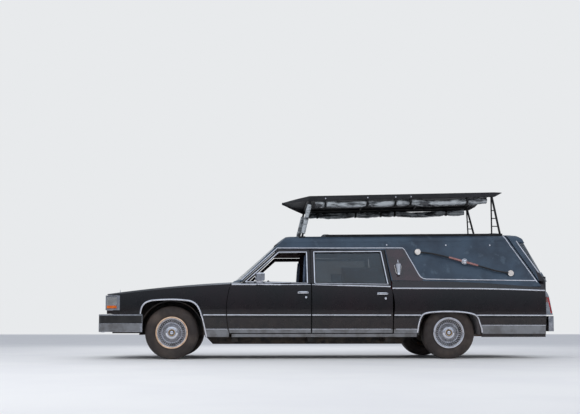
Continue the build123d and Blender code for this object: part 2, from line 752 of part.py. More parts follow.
def handle(x0, x1, z):
    grip = slab(x0, x1, -HALF_WIDTH - 26, -HALF_WIDTH - 14, z - 9, z + 9)
    feet = [slab(x - 10, x + 10, -HALF_WIDTH - 20, -HALF_WIDTH + 12, z - 9, z + 9) for x in (x0 + 12, x1 - 12)]
    return grip + feet


def front_door():
    return door(front_door_outline(), FRONT_WINDOW) + mirror_head() + handle(-385, -262, 905)


def rear_door():
    return door(rear_door_outline(), REAR_WINDOW) + handle(706, 829, 892)


def side_glass():
    """Rear side window, held in the middle of its frame."""
    pane = upper_block(FRAME_T / 2) - upper_block(FRAME_T / 2 + GLASS_T)
    cut = side_prism(REAR_WINDOW, -1000, -500)
    return pane & cut & slab(-1500, 1000, -1000, 0, 1030, 1600)


def windscreen():
    pane = nose_prism(16) - nose_prism(16 + GLASS_T * 1.5)
    return pane & upper_block(0) & screen_opening(TOUCH)


def screen_opening(inset=0):
    """Hole for the windscreen, seen through the nose."""
    section = push(upper_section(58 + inset, -1500, 0), 1000, (1, 0, ROOF_RISE))
    return section & slab(-1500, -640, -900, 900, 1092 + inset, 1606 - inset)


# Upper body panels

def door_openings(depth_y):
    cuts = [side_prism(front_door_outline(SEAM), -1000, -depth_y), side_prism(rear_door_outline(SEAM + 2), -1000, -depth_y)]
    return cuts + [mirror(cut, about=Plane.XZ) for cut in cuts]


def roof_front():
    """Brow, front of the roof and windscreen posts."""
    shell = UPPER_SHELL & slab(-1500, ROOF_CUT[0], -1000, 1000, 1000, 1900)
    shell = shell - CABIN_BLOCK - cowl_deck(900)
    hole = screen_opening() & nose_prism(-50) - nose_prism(200)
    shell = shell - hole - door_openings(560) - (FRONT_BLOCK & slab(-1500, -1291, -900, 900, 900, 1200))
    return shell


def side_panels():
    """Roof edge over the rear door and the blind landau panel behind it."""
    seam_cut = side_prism(
        [(seam_x(1900), 1900), (seam_x(900), 900), (4000, 900), (4000, 1900)], -1000, 1000
    )
    wall = UPPER_SHELL & slab(ROOF_CUT[0], 3300, -1000, -ROOF_CUT_HALF, 960, 1900)
    wall = wall - [seam_cut, CABIN_BLOCK, REAR_BLOCK] - door_openings(560)[:2]
    wall &= slab(ROOF_CUT[0], 3300, -1000, -ROOF_CUT_HALF, 1000, 1900)
    return pair(wall)


def rear_header():
    seam_cut = side_prism(
        [(seam_x(1900), 1900), (seam_x(900), 900), (4000, 900), (4000, 1900)], -1000, 1000
    )
    return (UPPER_SHELL & slab(ROOF_CUT[1], 2800, -ROOF_CUT_HALF, ROOF_CUT_HALF, 1500, 1900)) - seam_cut


def quarter_panels():
    """Rear fenders with their wheel arch and the jamb beside the rear door."""
    shell = REAR_BLOCK - REAR_HOLLOW
    side = shell & slab(BELT_X - 5, TAIL_X, -1000, -800, 200, 1100)
    front_cut = side_prism(rear_door_outline(SEAM + 2), -1000, 0)
    low_front = side_prism([(880, 250), (1260, 250), (1260, DOOR_FOOT_Z - 8), (880, DOOR_FOOT_Z - 8)], -1000, 0)
    side = side - [front_cut, rear_arch_cut(), low_front]
    jamb = slab(2975, TAIL_X, -800, -785, 596, 1056)
    return pair(side + jamb)


def rocker_sills():
    """Sill under the doors with the hinge post and the centre post on it."""
    sill = lower_block(SILL_SECTIONS) & slab(
        -1630, SILL_END_X, -1000, -POST_OUT_Y - 2, SILL_Z, DOOR_FOOT_Z - SEAM - TOUCH
    )
    hinge_post = slab(-1290, -1236, -POST_OUT_Y, -POST_IN_Y, 300, 984.7)
    centre_post = slab(-252, -168, -POST_OUT_Y, -POST_IN_Y, 300, 1010)
    centre_post += slab(-252, -168, -POST_IN_Y - 3, -780, 950, 1010) + slab(-252, -168, -POST_IN_Y + 4, -780, 1000, 1040)
    rear_post = slab(930, 962, -POST_OUT_Y, -POST_IN_Y, 300, 1000)
    base = slab(-1290, 1205, -POST_OUT_Y - 3, -POST_IN_Y + 32, 300, FLOOR_Z - TOUCH)
    upper = upper_block(WALL_T + TOUCH) - upper_block(WALL_T + 30)
    upper &= slab(-252, -168, -900, -560, 1030, 1600)
    return pair(sill + hinge_post + centre_post + rear_post + base + upper)


# Rear door

DOOR_HALF = 765
TAIL_GLASS_Z = (1212, 1640)


def rear_door_cap():
    ahead = side_prism(
        [
            (seam_x(1900) + REAR_SEAM, 1900), (seam_x(1080) + REAR_SEAM, 1080), (4000, 1080), (4000, 1900),
        ],
        -1000, 1000,
    )
    cap = (UPPER_BLOCK - upper_block(40)) & ahead & slab(2500, 3160, -1000, 1000, 1080, 1900)
    panel = plan_prism(
        [
            (3062, -DOOR_HALF), ((3128, -733), (3160, -640)), (3160, 640), ((3128, 733), (3062, DOOR_HALF)),
        ],
        612, 1150,
    )
    return cap + panel


def rear_window_region(inset=0):
    z0, z1 = TAIL_GLASS_Z
    x_low = seam_x(z0) + 116 + inset
    x_high = seam_x(z1) + 116 + inset
    return side_prism([(x_low, z0 + inset), (x_high, z1 - inset), (3400, z1 - inset), (3400, z0 + inset)], -1000, 1000)


def rear_glass():
    pane = upper_block(14) - upper_block(14 + GLASS_T)
    return pane & rear_window_region(TOUCH)


def hinge_leaf():
    return [rod((3138, -778, z), (3138, -778, z + 60), 9) for z in (660, 900)]


def rear_loading_door():
    handle_bar = slab(3155, 3168, 520, 640, 1150, 1168)
    return (rear_door_cap() - rear_window_region()) + handle_bar


# Lamps and trim on the body

def tail_lamps():
    """Upright lamp in the tip of each rear fender, with its chrome cap."""
    body = side_prism(
        [(TAIL_X + TOUCH, 948), ((3090, 905), (3112, 855)), (3160, 606), (TAIL_X + TOUCH, 606)], -912, -790
    )
    return pair(body)


def coach_lamps():
    """Carriage lantern on each rear pillar: foot, glass body, cap and finial."""
    x, y = 1012, -818
    lean = Pos(x, y, 1140) * Rot(-17.5, 0, 0)
    base = Cylinder(20, 30, align=(Align.CENTER, Align.CENTER, Align.MIN))
    glass = Pos(0, 0, 30) * Cone(24, 46, 120, align=(Align.CENTER, Align.CENTER, Align.MIN))
    cap = Pos(0, 0, 150) * Cone(52, 16, 40, align=(Align.CENTER, Align.CENTER, Align.MIN))
    tip = Pos(0, 0, 190) * Cone(8, 3, 40, align=(Align.CENTER, Align.CENTER, Align.MIN))
    foot = Pos(0, 22, 60) * Box(26, 60, 60)
    lamp = lean * Pos(0, -48, 0) * (base + glass + cap + tip + foot)
    return pair(lamp - UPPER_BLOCK)


def wall_y(z, x=0):
    """Outer face of the upper side wall."""
    share = (z - ROOF_RISE * x - BASE[1]) / (DRIP[1] - BASE[1])
    return BASE[0] + (DRIP[0] - BASE[0]) * share


# columns: x, z, stand-off from the wall
LANDAU_BAR = [(1301, 1489, 26), (1500, 1466, 34), (1767, 1404, 40), (2132, 1294, 40), (2380, 1222, 34), (2594, 1187, 26)]


def landau_bars():
    """Long S-shaped carriage iron with a rosette at each end."""
    points = [(x, -(wall_y(z, x) + off), z) for x, z, off in LANDAU_BAR]
    bar = pipe(points, 11, 260)
    for x, z, off in (LANDAU_BAR[0], LANDAU_BAR[-1]):
        y = -wall_y(z, x)
        tilt = Pos(x, y, z) * Rot(90 + 17.9, 0, 0)
        bar += tilt * Pos(0, 0, 14) * Cylinder(38, 24)
    return pair(bar - UPPER_BLOCK)


# Roof frame, canopy and curtains

CANOPY_RISE = 0.0309
CANOPY_X = (-184, 2409)
CANOPY_HALF = 620
TOP_TUBE_Z = 2255
TUBE_R = 15
RAIL_W = 52
RAIL_H = 30


def canopy_z(x, z=TOP_TUBE_Z):
    return z + CANOPY_RISE * (x - CANOPY_X[0])


def roof_rail():
    """Dark frame that borders the open roof."""
    raised = upper_block(-RAIL_H) - UPPER_BLOCK
    half = ROOF_CUT_HALF + RAIL_W
    ring = slab(ROOF_CUT[0] - RAIL_W, ROOF_CUT[1] + RAIL_W, -half, half, 1600, 1900)
    ring += slab(ROOF_CUT[1], 2568, -half, -ROOF_CUT_HALF, 1600, 1900)
    ring += slab(ROOF_CUT[1], 2568, ROOF_CUT_HALF, half, 1600, 1900)
    ring -= slab(ROOF_CUT[0], ROOF_CUT[1], -ROOF_CUT_HALF, ROOF_CUT_HALF, 1500, 1900)
    return raised & ring


def canopy_frame():
    """Roof rail with raked corner posts, top side tubes and arched bows."""
    frame = roof_rail()
    x0, x1 = CANOPY_X
    y = -CANOPY_HALF
    tubes = [
        rod((x0 - 0.231 * 560, y, 1695), (x0, y, canopy_z(x0)), TUBE_R),
        rod((x1 + 0.2315 * 565, -580, 1768), (x1, y, canopy_z(x1)), TUBE_R),
        rod((x1 + 10, -580, 1765), (x1 - 4, y, canopy_z(x1)), TUBE_R * 0.7),
        rod((x0, y, canopy_z(x0)), (x1, y, canopy_z(x1)), TUBE_R),
    ]
    for share in (0.2, 0.4, 0.6):
        z = 1768 + share * 565
        xa = x1 + 0.2315 * 565 * (1 - share)
        ya = -580 + share * (y + 580)
        tubes.append(rod((xa, ya, z), (x1 + 10 - 14 * share, ya, z), 7))
    foot = Pos(x0 - 0.231 * 560, y, 1697) * Box(90, 46, 30)
    tubes.append(foot)
    side = tubes[0] + tubes[1:]
    side = side - UPPER_BLOCK
    frame = frame + side + mirror(side, about=Plane.XZ)
    for share in (0, 0.34, 0.67, 1):
        x = x0 + (x1 - x0) * share
        z = canopy_z(x)
        bow = ThreePointArc((x, -CANOPY_HALF, z), (x, 0, z + 52), (x, CANOPY_HALF, z))
        frame += sweep(Plane(origin=bow @ 0, z_dir=bow % 0) * Circle(TUBE_R * 0.8), path=bow)
    return frame


SHEET_GAP = 3
CLOTH_T = 9
VALANCE = 52
VISOR_TIP = (-577, 2196)
TAIL_TIP = (2548, 2352)


def cloth_strip(x, z, crown, half):
    """Section of the roof cloth, arched across the car."""
    t = CLOTH_T
    return outline(
        [(-half, z), ((0, z + crown), (half, z)), (half, z + t), ((0, z + crown + t), (-half, z + t))], station_at(x)
    )


def canopy_top():
    """Fabric roof with side valances, a pointed visor ahead and a short one behind."""
    x0, x1 = CANOPY_X[0] - 22, CANOPY_X[1] + 34
    rise = TUBE_R + SHEET_GAP
    z0, z1 = canopy_z(x0) + rise, canopy_z(x1) + rise
    half = CANOPY_HALF + rise + CLOTH_T
    cloth = loft([cloth_strip(x0, z0, 56, half), cloth_strip(x1, z1, 56, half)], ruled=True)
    cloth += loft([cloth_strip(VISOR_TIP[0], VISOR_TIP[1], 34, half), cloth_strip(x0, z0, 56, half)], ruled=True)
    cloth += loft([cloth_strip(x1, z1, 56, half), cloth_strip(TAIL_TIP[0], TAIL_TIP[1], 50, half)], ruled=True)
    edge = [
        VISOR_TIP, (x0, z0 + 1), (x1, z1 + 1), TAIL_TIP, (x1 - 12, z1 - VALANCE - 10), (x0, z0 - VALANCE), (-306, 2114)
    ]
    skirt = side_prism(edge, -half, -half + CLOTH_T)
    return cloth + skirt + mirror(skirt, about=Plane.XZ)


ROLL_R = 51
ROLL_DROP = 11


def curtain_rolls():
    """Rolled side curtains under the canopy's edges and the sleeves round the front posts."""
    x0, x1 = CANOPY_X
    y = -CANOPY_HALF
    roll_y = y - TUBE_R + ROLL_R
    z0 = canopy_z(x0 + 60) - TUBE_R - ROLL_R - ROLL_DROP
    z1 = canopy_z(x1 - 60) - TUBE_R - ROLL_R - ROLL_DROP
    roll = rod((x0 + 60, roll_y, z0), (x1 - 60, roll_y, z1), ROLL_R)
    low = (x0 - 0.231 * 500, y, canopy_z(x0) - 500)
    high = (x0 - 0.231 * 95, y, canopy_z(x0) - 95)
    sleeve = rod(low, high, 34) - rod(low, high, TUBE_R + 1)
    return pair(roll) + pair(sleeve)


# Cabin

def front_seat():
    """Full-width bench with a raked back and head restraints."""
    base = side_prism([(-700, FLOOR_Z + FLOOR_T), (-740, 470), (-170, 470), (-170, FLOOR_Z + FLOOR_T)], -600, 600)
    tunnel_gap = slab(-1300, 0, -175, 175, 300, 500)
    cushion = side_prism([(-740, 470), ((-772, 540), (-730, 612)), (-250, 575), (-170, 470)], -640, 640)
    back = side_prism([(-250, 470), (-250, 580), (-176, 1040), ((-130, 1072), (-92, 1030)), (-120, 470)], -640, 640)
    rests = [side_prism([(-166, 1060), (-160, 1180), ((-125, 1196), (-92, 1176)), (-104, 1046), (-150, 1046)], y - 120, y + 120)
             for y in (-380, 380)]
    return (base + cushion + back + rests) - tunnel_gap


def bench_plinths():
    """Plinths that lift the passengers' heads over the roof."""
    low = slab(220, STEP_X - FLOOR_T - TOUCH, -610, -380, FLOOR_Z + FLOOR_T + TOUCH, 900)
    back = slab(STEP_X - FLOOR_T - TOUCH, 2450, -610, -380, STEP_Z + FLOOR_T + TOUCH, 900)
    return pair(low + back)


def bench_pads():
    seat = slab(210, 2460, -662, -372, 900 + TOUCH, 985)
    seat = fillet(seat.edges().filter_by(Axis.X).group_by(Axis.Z)[-1], 26)
    rest = side_prism([(210, 985), (210, 1290), (2460, 1290), (2460, 985)], -676, -630)
    rest = fillet(rest.edges().filter_by(Axis.X).group_by(Axis.Z)[-1], 18)
    return pair(seat + rest)


STEER_CENTRE = (-700, -390, 930)
STEER_TILT = 27
STEER_R = 193


def steer_plane(along):
    tilt = radians(STEER_TILT)
    direction = Vector(cos(tilt), 0, sin(tilt))
    return Plane(origin=Vector(*STEER_CENTRE) + direction * along, z_dir=direction)


def steering_wheel():
    rim = steer_plane(0) * Torus(STEER_R - 14, 14)
    hub = extrude(steer_plane(-42) * Circle(48), amount=52)
    bar = extrude(steer_plane(-20) * Rectangle(44, 2 * (STEER_R - 16)), amount=14)
    leg = extrude(steer_plane(-20) * Pos((STEER_R - 16) / 2, 0, 0) * Rectangle(STEER_R - 16, 40), amount=14)
    return rim + hub + bar + (leg & extrude(steer_plane(-30) * Circle(STEER_R - 14), amount=40))


def dashboard():
    pad = side_prism(
        [
            (-1205, 985 - TOUCH - 30), (-1205, 700), (-1010, 640), (-930, 700), (-905, 880), ((-915, 985), (-960, 1005)),
            (-1050, 1018), (-1085, 984), (-1205, 984 - TOUCH),
        ],
        -790, 790,
    )
    pad -= slab(-1000, -880, -620, -170, 905, 975)
    column = extrude(steer_plane(-320) * Circle(34), amount=320 - 42 - TOUCH)
    return pad + column


def exhaust():
    front = pipe([(-1450, 250, 294), (-1300, 250, 294), (160, 250, 294)][1:], 26, 100)
    muffler = slab(150, 800, 150, 350, 238, 328)
    tail = pipe(
        [(790, 250, 294), (1130, 250, 294), (1400, 250, 500), (1990, 250, 500), (2330, 338, 326), (2990, 338, 326)],
        26, 90,
    )
    riser = pipe([(-1300, 250, 294), (-1480, 250, 294), (-1560, 200, 470)], 26, 60)
    return front + muffler + tail + riser


def fuel_tank():
    tank = slab(2280, 2950, -290, 290, 330, 560)
    return fillet(tank.edges().filter_by(Axis.Y), 40)


PIECES = {
    "chassis_frame": chassis_frame,
    "front_suspension": front_suspension,
    "rear_axle": rear_axle,
    "engine": engine,
    "exhaust": exhaust,
    "fuel_tank": fuel_tank,
    "floor_pan": floor_pan,
    "front_wheelhouses": front_wheelhouses,
    "cowl": cowl,
    "nose_panel": nose_panel,
    "grille": grille,
    "headlamps": headlamps,
    "front_bumper": front_bumper,
    "rear_bumper": rear_bumper,
    "front_fenders": front_fenders,
    "hood": hood,
    "rocker_sills": rocker_sills,
    "quarter_panels": quarter_panels,
    "roof_front": roof_front,
    "side_panels": side_panels,
    "rear_header": rear_header,
    "windscreen": windscreen,
    "rear_door": rear_loading_door,
    "rear_door_glass": rear_glass,
    "tail_lamps": tail_lamps,
    "coach_lamps": coach_lamps,
    "landau_bars": landau_bars,
    "canopy_frame": canopy_frame,
    "canopy_top": canopy_top,
    "curtain_rolls": curtain_rolls,
    "front_seat": front_seat,
    "bench_plinths": bench_plinths,
    "bench_pads": bench_pads,
    "dashboard": dashboard,
    "steering_wheel": steering_wheel,
}

SIDE_PIECES = {"front_door": front_door, "side_door": rear_door, "side_glass": side_glass}


def build():
    os.makedirs("parts", exist_ok=True)
    for node, make in PIECES.items():
        save(node, make())
    for node, make in SIDE_PIECES.items():
        left = make()
        save(node + "_left", left)
        save(node + "_right", mirror(left, about=Plane.XZ))
    for side, name in ((-1, "left"), (1, "right")):
        save("knuckle_" + name, knuckle(side))
    for place, x, side in WHEELS:
        save("tyre_" + place, tyre(x, side * HALF_TRACK, side))
        save("wheel_" + place, wheel(x, side * HALF_TRACK, side))


build()
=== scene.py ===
"""Looks of the open-roofed tour hearse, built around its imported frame. Metres, +Z up, -X is the front."""

import math

import bpy
from mathutils import Matrix, Vector, noise
from mathutils.bvhtree import BVHTree


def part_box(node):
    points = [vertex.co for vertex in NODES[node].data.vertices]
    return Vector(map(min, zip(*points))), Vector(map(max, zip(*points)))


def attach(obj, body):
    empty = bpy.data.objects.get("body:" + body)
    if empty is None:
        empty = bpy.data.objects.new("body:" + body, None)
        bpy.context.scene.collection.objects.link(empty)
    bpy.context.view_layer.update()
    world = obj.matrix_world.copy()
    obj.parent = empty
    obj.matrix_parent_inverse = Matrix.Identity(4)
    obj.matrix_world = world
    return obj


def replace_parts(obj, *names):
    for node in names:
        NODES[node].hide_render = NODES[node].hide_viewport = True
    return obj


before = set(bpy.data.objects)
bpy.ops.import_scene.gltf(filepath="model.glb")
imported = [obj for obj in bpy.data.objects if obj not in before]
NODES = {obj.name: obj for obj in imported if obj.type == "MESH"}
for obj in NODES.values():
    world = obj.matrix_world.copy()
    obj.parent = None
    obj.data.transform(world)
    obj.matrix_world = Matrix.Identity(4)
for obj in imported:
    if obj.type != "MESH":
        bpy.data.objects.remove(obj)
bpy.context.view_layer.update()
scene = bpy.context.scene
SIDES = (("left", -1), ("right", 1))
PLACES = (("front", "left", -1), ("front", "right", 1), ("rear", "left", -1), ("rear", "right", 1))

# Camera: eye height and lens worked out from the horizon and the wheelbase
EYE = (-1.157, -11.655, 0.396)
YAW = 3.5
PITCH = 3.5
PHOTO_WIDTH = 580
FOCAL_PIXELS = 790
HORIZON_DROP_PIXELS = 123
SENSOR = 36.0


def make_camera():
    data = bpy.data.cameras.new("camera")
    data.sensor_width = SENSOR
    data.lens = SENSOR * FOCAL_PIXELS / PHOTO_WIDTH
    tilt = FOCAL_PIXELS * math.tan(math.radians(PITCH))
    data.shift_y = (HORIZON_DROP_PIXELS - tilt) / PHOTO_WIDTH
    data.clip_end = 200
    camera = bpy.data.objects.new("camera", data)
    camera.location = EYE
    camera.rotation_euler = (math.radians(90 + PITCH), 0, math.radians(-YAW))
    scene.collection.objects.link(camera)
    scene.camera = camera


make_camera()


# Materials

def rgb(red, green, blue):
    """Linear colour of an sRGB one given as 0 to 255."""
    def linear(value):
        share = value / 255
        return share / 12.92 if share <= 0.04045 else ((share + 0.055) / 1.055) ** 2.4
    return (linear(red), linear(green), linear(blue), 1.0)


class Finish:
    """A Principled material whose colour, roughness and bump come from procedural textures."""

    def __init__(self, name, colour, rough, **fixed):
        self.material = bpy.data.materials.new(name)
        self.material.use_nodes = True
        self.tree = self.material.node_tree
        self.shader = self.tree.nodes["Principled BSDF"]
        self.coords = self.node("ShaderNodeTexCoord").outputs["Object"]
        self.shader.inputs["Base Color"].default_value = colour
        self.shader.inputs["Roughness"].default_value = rough
        self.colour = colour
        self.rough = rough
        for key, value in fixed.items():
            self.shader.inputs[key.replace("_", " ")].default_value = value
        self.height = None

    def node(self, kind, **values):
        made = self.tree.nodes.new(kind)
        for key, value in values.items():
            if key in made.inputs:
                made.inputs[key].default_value = value
            else:
                setattr(made, key, value)
        return made

    def link(self, source, target):
        self.tree.links.new(source, target)

    def stretched(self, scale):
        mapping = self.node("ShaderNodeMapping")
        mapping.inputs["Scale"].default_value = scale
        self.link(self.coords, mapping.inputs["Vector"])
        return mapping.outputs["Vector"]

    def noise(self, scale, detail=6.0, rough=0.55, stretch=None):
        made = self.node("ShaderNodeTexNoise", Scale=scale, Detail=detail, Roughness=rough)
        self.link(self.stretched(stretch) if stretch else self.coords, made.inputs["Vector"])
        return made.outputs["Fac"]

    def ranged(self, source, low, high, to_low=0.0, to_high=1.0):
        made = self.node("ShaderNodeMapRange")
        for index, value in enumerate((low, high, to_low, to_high)):
            made.inputs[index + 1].default_value = value
        self.link(source, made.inputs[0])
        return made.outputs[0]

    def mix_colour(self, share, other):
        made = self.node("ShaderNodeMix", data_type="RGBA")
        current = self.shader.inputs["Base Color"]
        if current.is_linked:
            self.link(current.links[0].from_socket, made.inputs[6])
        else:
            made.inputs[6].default_value = self.colour
        made.inputs[7].default_value = other
        self.link(share, made.inputs[0])
        self.link(made.outputs[2], self.shader.inputs["Base Color"])
        return self

    def vary(self, other, scale, low=0.42, high=0.62, stretch=None):
        return self.mix_colour(self.ranged(self.noise(scale, stretch=stretch), low, high), other)

    def dust(self, other, z_full, z_none, amount=0.6):
        """Road dust that thickens towards the ground."""
        split = self.node("ShaderNodeSeparateXYZ")
        self.link(self.coords, split.inputs[0])
        fall = self.ranged(split.outputs["Z"], z_full, z_none, amount, 0.0)
        times = self.node("ShaderNodeMath", operation="MULTIPLY")
        self.link(fall, times.inputs[0])
        self.link(self.ranged(self.noise(14.0), 0.3, 0.75), times.inputs[1])
        return self.mix_colour(times.outputs[0], other)

    def rough_vary(self, low, high, scale=9.0):
        self.link(self.ranged(self.noise(scale), 0.3, 0.7, low, high), self.shader.inputs["Roughness"])
        return self

    def bump(self, source, strength, distance):
        made = self.node("ShaderNodeBump", Strength=strength, Distance=distance)
        self.link(source, made.inputs["Height"])
        if self.height is not None:
            self.link(self.height, made.inputs["Normal"])
        self.height = made.outputs["Normal"]
        self.link(self.height, self.shader.inputs["Normal"])
        return self

    def grain(self, scale, strength, distance=0.0006):
        cells = self.node("ShaderNodeTexVoronoi", Scale=scale, feature="SMOOTH_F1")
        self.link(self.coords, cells.inputs["Vector"])
        return self.bump(cells.outputs["Distance"], strength, distance)

    def weave(self, scale, strength, distance=0.0008):
        total = self.node("ShaderNodeMath", operation="ADD")
        for index, direction in enumerate(("X", "Z")):
            wave = self.node("ShaderNodeTexWave", Scale=scale, Distortion=0.6, bands_direction=direction)
            self.link(self.coords, wave.inputs["Vector"])
            self.link(wave.outputs["Fac"], total.inputs[index])
        return self.bump(total.outputs[0], strength, distance)


DUST = rgb(96, 84, 72)
paint = (
    Finish("body_paint", rgb(9, 9, 13), 0.3, Specular_IOR_Level=0.25, Coat_Weight=0.8, Coat_Roughness=0.03,
           Coat_IOR=1.4)
    .vary(rgb(24, 11, 17), 1.3, 0.4, 0.75).dust(DUST, 0.28, 0.75, 0.2).rough_vary(0.22, 0.36)
)
paint.bump(paint.noise(900.0, 2.0), 0.03, 0.0003)
paint.bump(paint.noise(5.0, 3.0), 0.10, 0.004)
PAINT = paint.material
MAROON = (
    Finish("maroon_panel", rgb(42, 20, 27), 0.25, Metallic=0.2, Coat_Weight=1.0, Coat_Roughness=0.03)
    .vary(rgb(24, 12, 17), 6.0).rough_vary(0.2, 0.3).material
)
vinyl = Finish("roof_vinyl", rgb(52, 68, 84), 0.5, Coat_Weight=0.12, Coat_Roughness=0.35)
vinyl.vary(rgb(38, 50, 64), 2.2).vary(rgb(78, 94, 108), 9.0, 0.58, 0.8).rough_vary(0.42, 0.6, 6.0)
vinyl.grain(420.0, 0.55)
vinyl.bump(vinyl.noise(2.5, 4.0), 0.2, 0.01)
VINYL = vinyl.material
chrome = Finish("chrome", rgb(226, 226, 232), 0.08, Metallic=1.0).rough_vary(0.05, 0.16, 20.0)
chrome.vary(rgb(186, 184, 186), 12.0, 0.5, 0.8)
CHROME = chrome.bump(chrome.noise(30.0, 3.0), 0.04, 0.001).material
SILVER = (
    Finish("silver_trim", rgb(136, 138, 142), 0.36, Metallic=0.6).vary(rgb(112, 112, 114), 7.0)
    .rough_vary(0.28, 0.45).dust(DUST, 0.28, 0.5, 0.2).material
)
CREAM = Finish("cream_ring", rgb(226, 196, 168), 0.3, Coat_Weight=0.6).vary(rgb(196, 160, 132), 20.0).material
GOLD = Finish("gold_ring", rgb(196, 160, 96), 0.25, Metallic=1.0).rough_vary(0.2, 0.35).material
tyre_rubber = Finish("tyre_rubber", rgb(48, 42, 40), 0.72).vary(rgb(76, 66, 60), 5.0, 0.42, 0.7)
tyre_rubber.rough_vary(0.62, 0.85, 12.0).grain(260.0, 0.25, 0.0005)
TYRE = tyre_rubber.material
rubber = Finish("black_rubber", rgb(18, 18, 19), 0.55).vary(rgb(34, 33, 33), 8.0).rough_vary(0.45, 0.65)
RUBBER = rubber.grain(500.0, 0.2, 0.0004).material
DARK = Finish("wheel_recess", rgb(24, 22, 22), 0.6).vary(rgb(44, 36, 32), 30.0).rough_vary(0.5, 0.7).material
clear_pane = Finish("clear_glass", rgb(60, 76, 76), 0.02, Alpha=0.22, Specular_IOR_Level=0.6)
GLASS = clear_pane.vary(rgb(78, 92, 92), 3.0).rough_vary(0.01, 0.04).material
tinted_pane = Finish("tinted_glass", rgb(18, 30, 38), 0.02, Alpha=0.62, Specular_IOR_Level=0.8, Coat_Weight=0.5)
TINTED = tinted_pane.vary(rgb(30, 48, 60), 3.0).rough_vary(0.01, 0.04).material
lens = Finish("lamp_lens", (0.93, 0.95, 0.95, 1), 0.06, Transmission_Weight=0.9, IOR=1.45)
LENS = lens.bump(lens.noise(60.0), 0.1, 0.002).material
amber = Finish("amber_lens", rgb(240, 120, 20), 0.12, Transmission_Weight=0.25, Coat_Weight=1.0)
AMBER = amber.vary(rgb(206, 84, 8), 40.0).material
red = Finish("red_lens", rgb(190, 40, 48), 0.15, Transmission_Weight=0.3, Coat_Weight=1.0)
RED = red.vary(rgb(132, 18, 26), 30.0).material
frame_paint = Finish("chassis_paint", rgb(26, 25, 25), 0.6).vary(rgb(62, 48, 38), 7.0, 0.45, 0.7)
FRAME = frame_paint.dust(DUST, 0.15, 0.6, 0.6).rough_vary(0.5, 0.75).grain(120.0, 0.2).material
iron = Finish("cast_iron", rgb(66, 64, 62), 0.65, Metallic=0.5).vary(rgb(92, 72, 56), 9.0).rough_vary(0.55, 0.8)
IRON = iron.grain(160.0, 0.4, 0.001).material
steel = Finish("exhaust_steel", rgb(132, 124, 116), 0.4, Metallic=0.9).vary(rgb(112, 74, 48), 8.0, 0.42, 0.6)
STEEL = steel.rough_vary(0.35, 0.6).material
carpet = Finish("cabin_carpet", rgb(44, 26, 30), 0.95, Sheen_Weight=0.3).vary(rgb(30, 18, 21), 12.0)
CARPET = carpet.bump(carpet.noise(420.0, 3.0), 0.8, 0.003).material
LINER = Finish("headliner", rgb(86, 72, 72), 0.9, Sheen_Weight=0.2).vary(rgb(70, 58, 59), 8.0).weave(160.0, 0.4).material
dash = Finish("cabin_plastic", rgb(48, 30, 33), 0.5).vary(rgb(36, 22, 25), 10.0).rough_vary(0.4, 0.6)
DASH = dash.grain(500.0, 0.35, 0.0005).material
seat = Finish("seat_fabric", rgb(96, 38, 44), 0.85, Sheen_Weight=0.5).vary(rgb(72, 26, 32), 7.0, 0.4, 0.65)
SEAT = seat.weave(220.0, 0.5).material
cloth = Finish("canopy_cloth", rgb(22, 22, 25), 0.78, Sheen_Weight=0.15).vary(rgb(38, 38, 42), 3.0, 0.45, 0.75)
cloth.rough_vary(0.65, 0.85).weave(420.0, 0.35, 0.0005)
CLOTH = cloth.bump(cloth.noise(7.0, 4.0), 0.25, 0.01).material
sheet_vinyl = Finish(
    "curtain_vinyl", rgb(176, 182, 186), 0.14, Transmission_Weight=0.15, IOR=1.4, Coat_Weight=0.8,
    Coat_Roughness=0.08,
)
# The darker grey mottle over about half of the clear sheet is painted shade of its crumpled folds.
sheet_vinyl.vary(rgb(52, 54, 58), 9.0, 0.44, 0.58, (0.5, 1.6, 1.6)).rough_vary(0.08, 0.3, 14.0)
CURTAIN = sheet_vinyl.bump(sheet_vinyl.noise(26.0, 5.0, 0.6, (0.35, 1.0, 1.0)), 0.8, 0.012).material
webbing = Finish("black_webbing", rgb(14, 14, 15), 0.7).vary(rgb(28, 28, 30), 30.0).weave(700.0, 0.6, 0.0006)
WEBBING = webbing.material
tube = Finish("canopy_tube", rgb(24, 24, 26), 0.4, Metallic=0.4).vary(rgb(52, 50, 48), 10.0, 0.5, 0.75)
TUBE = tube.rough_vary(0.3, 0.5).material
WIRE = Finish("bright_plastic", rgb(226, 222, 218), 0.3).vary(rgb(196, 190, 186), 20.0).material
PINK = Finish("copper_chrome", rgb(178, 134, 130), 0.2, Metallic=0.8).vary(rgb(150, 104, 100), 30.0).material
PLATE = Finish("blank_plate", rgb(220, 220, 214), 0.35).vary(rgb(200, 200, 196), 14.0).material
belt = Finish("belt_webbing", rgb(84, 96, 116), 0.6).vary(rgb(66, 78, 98), 20.0).weave(800.0, 0.5, 0.0005)
BELTING = belt.material


# Shapes

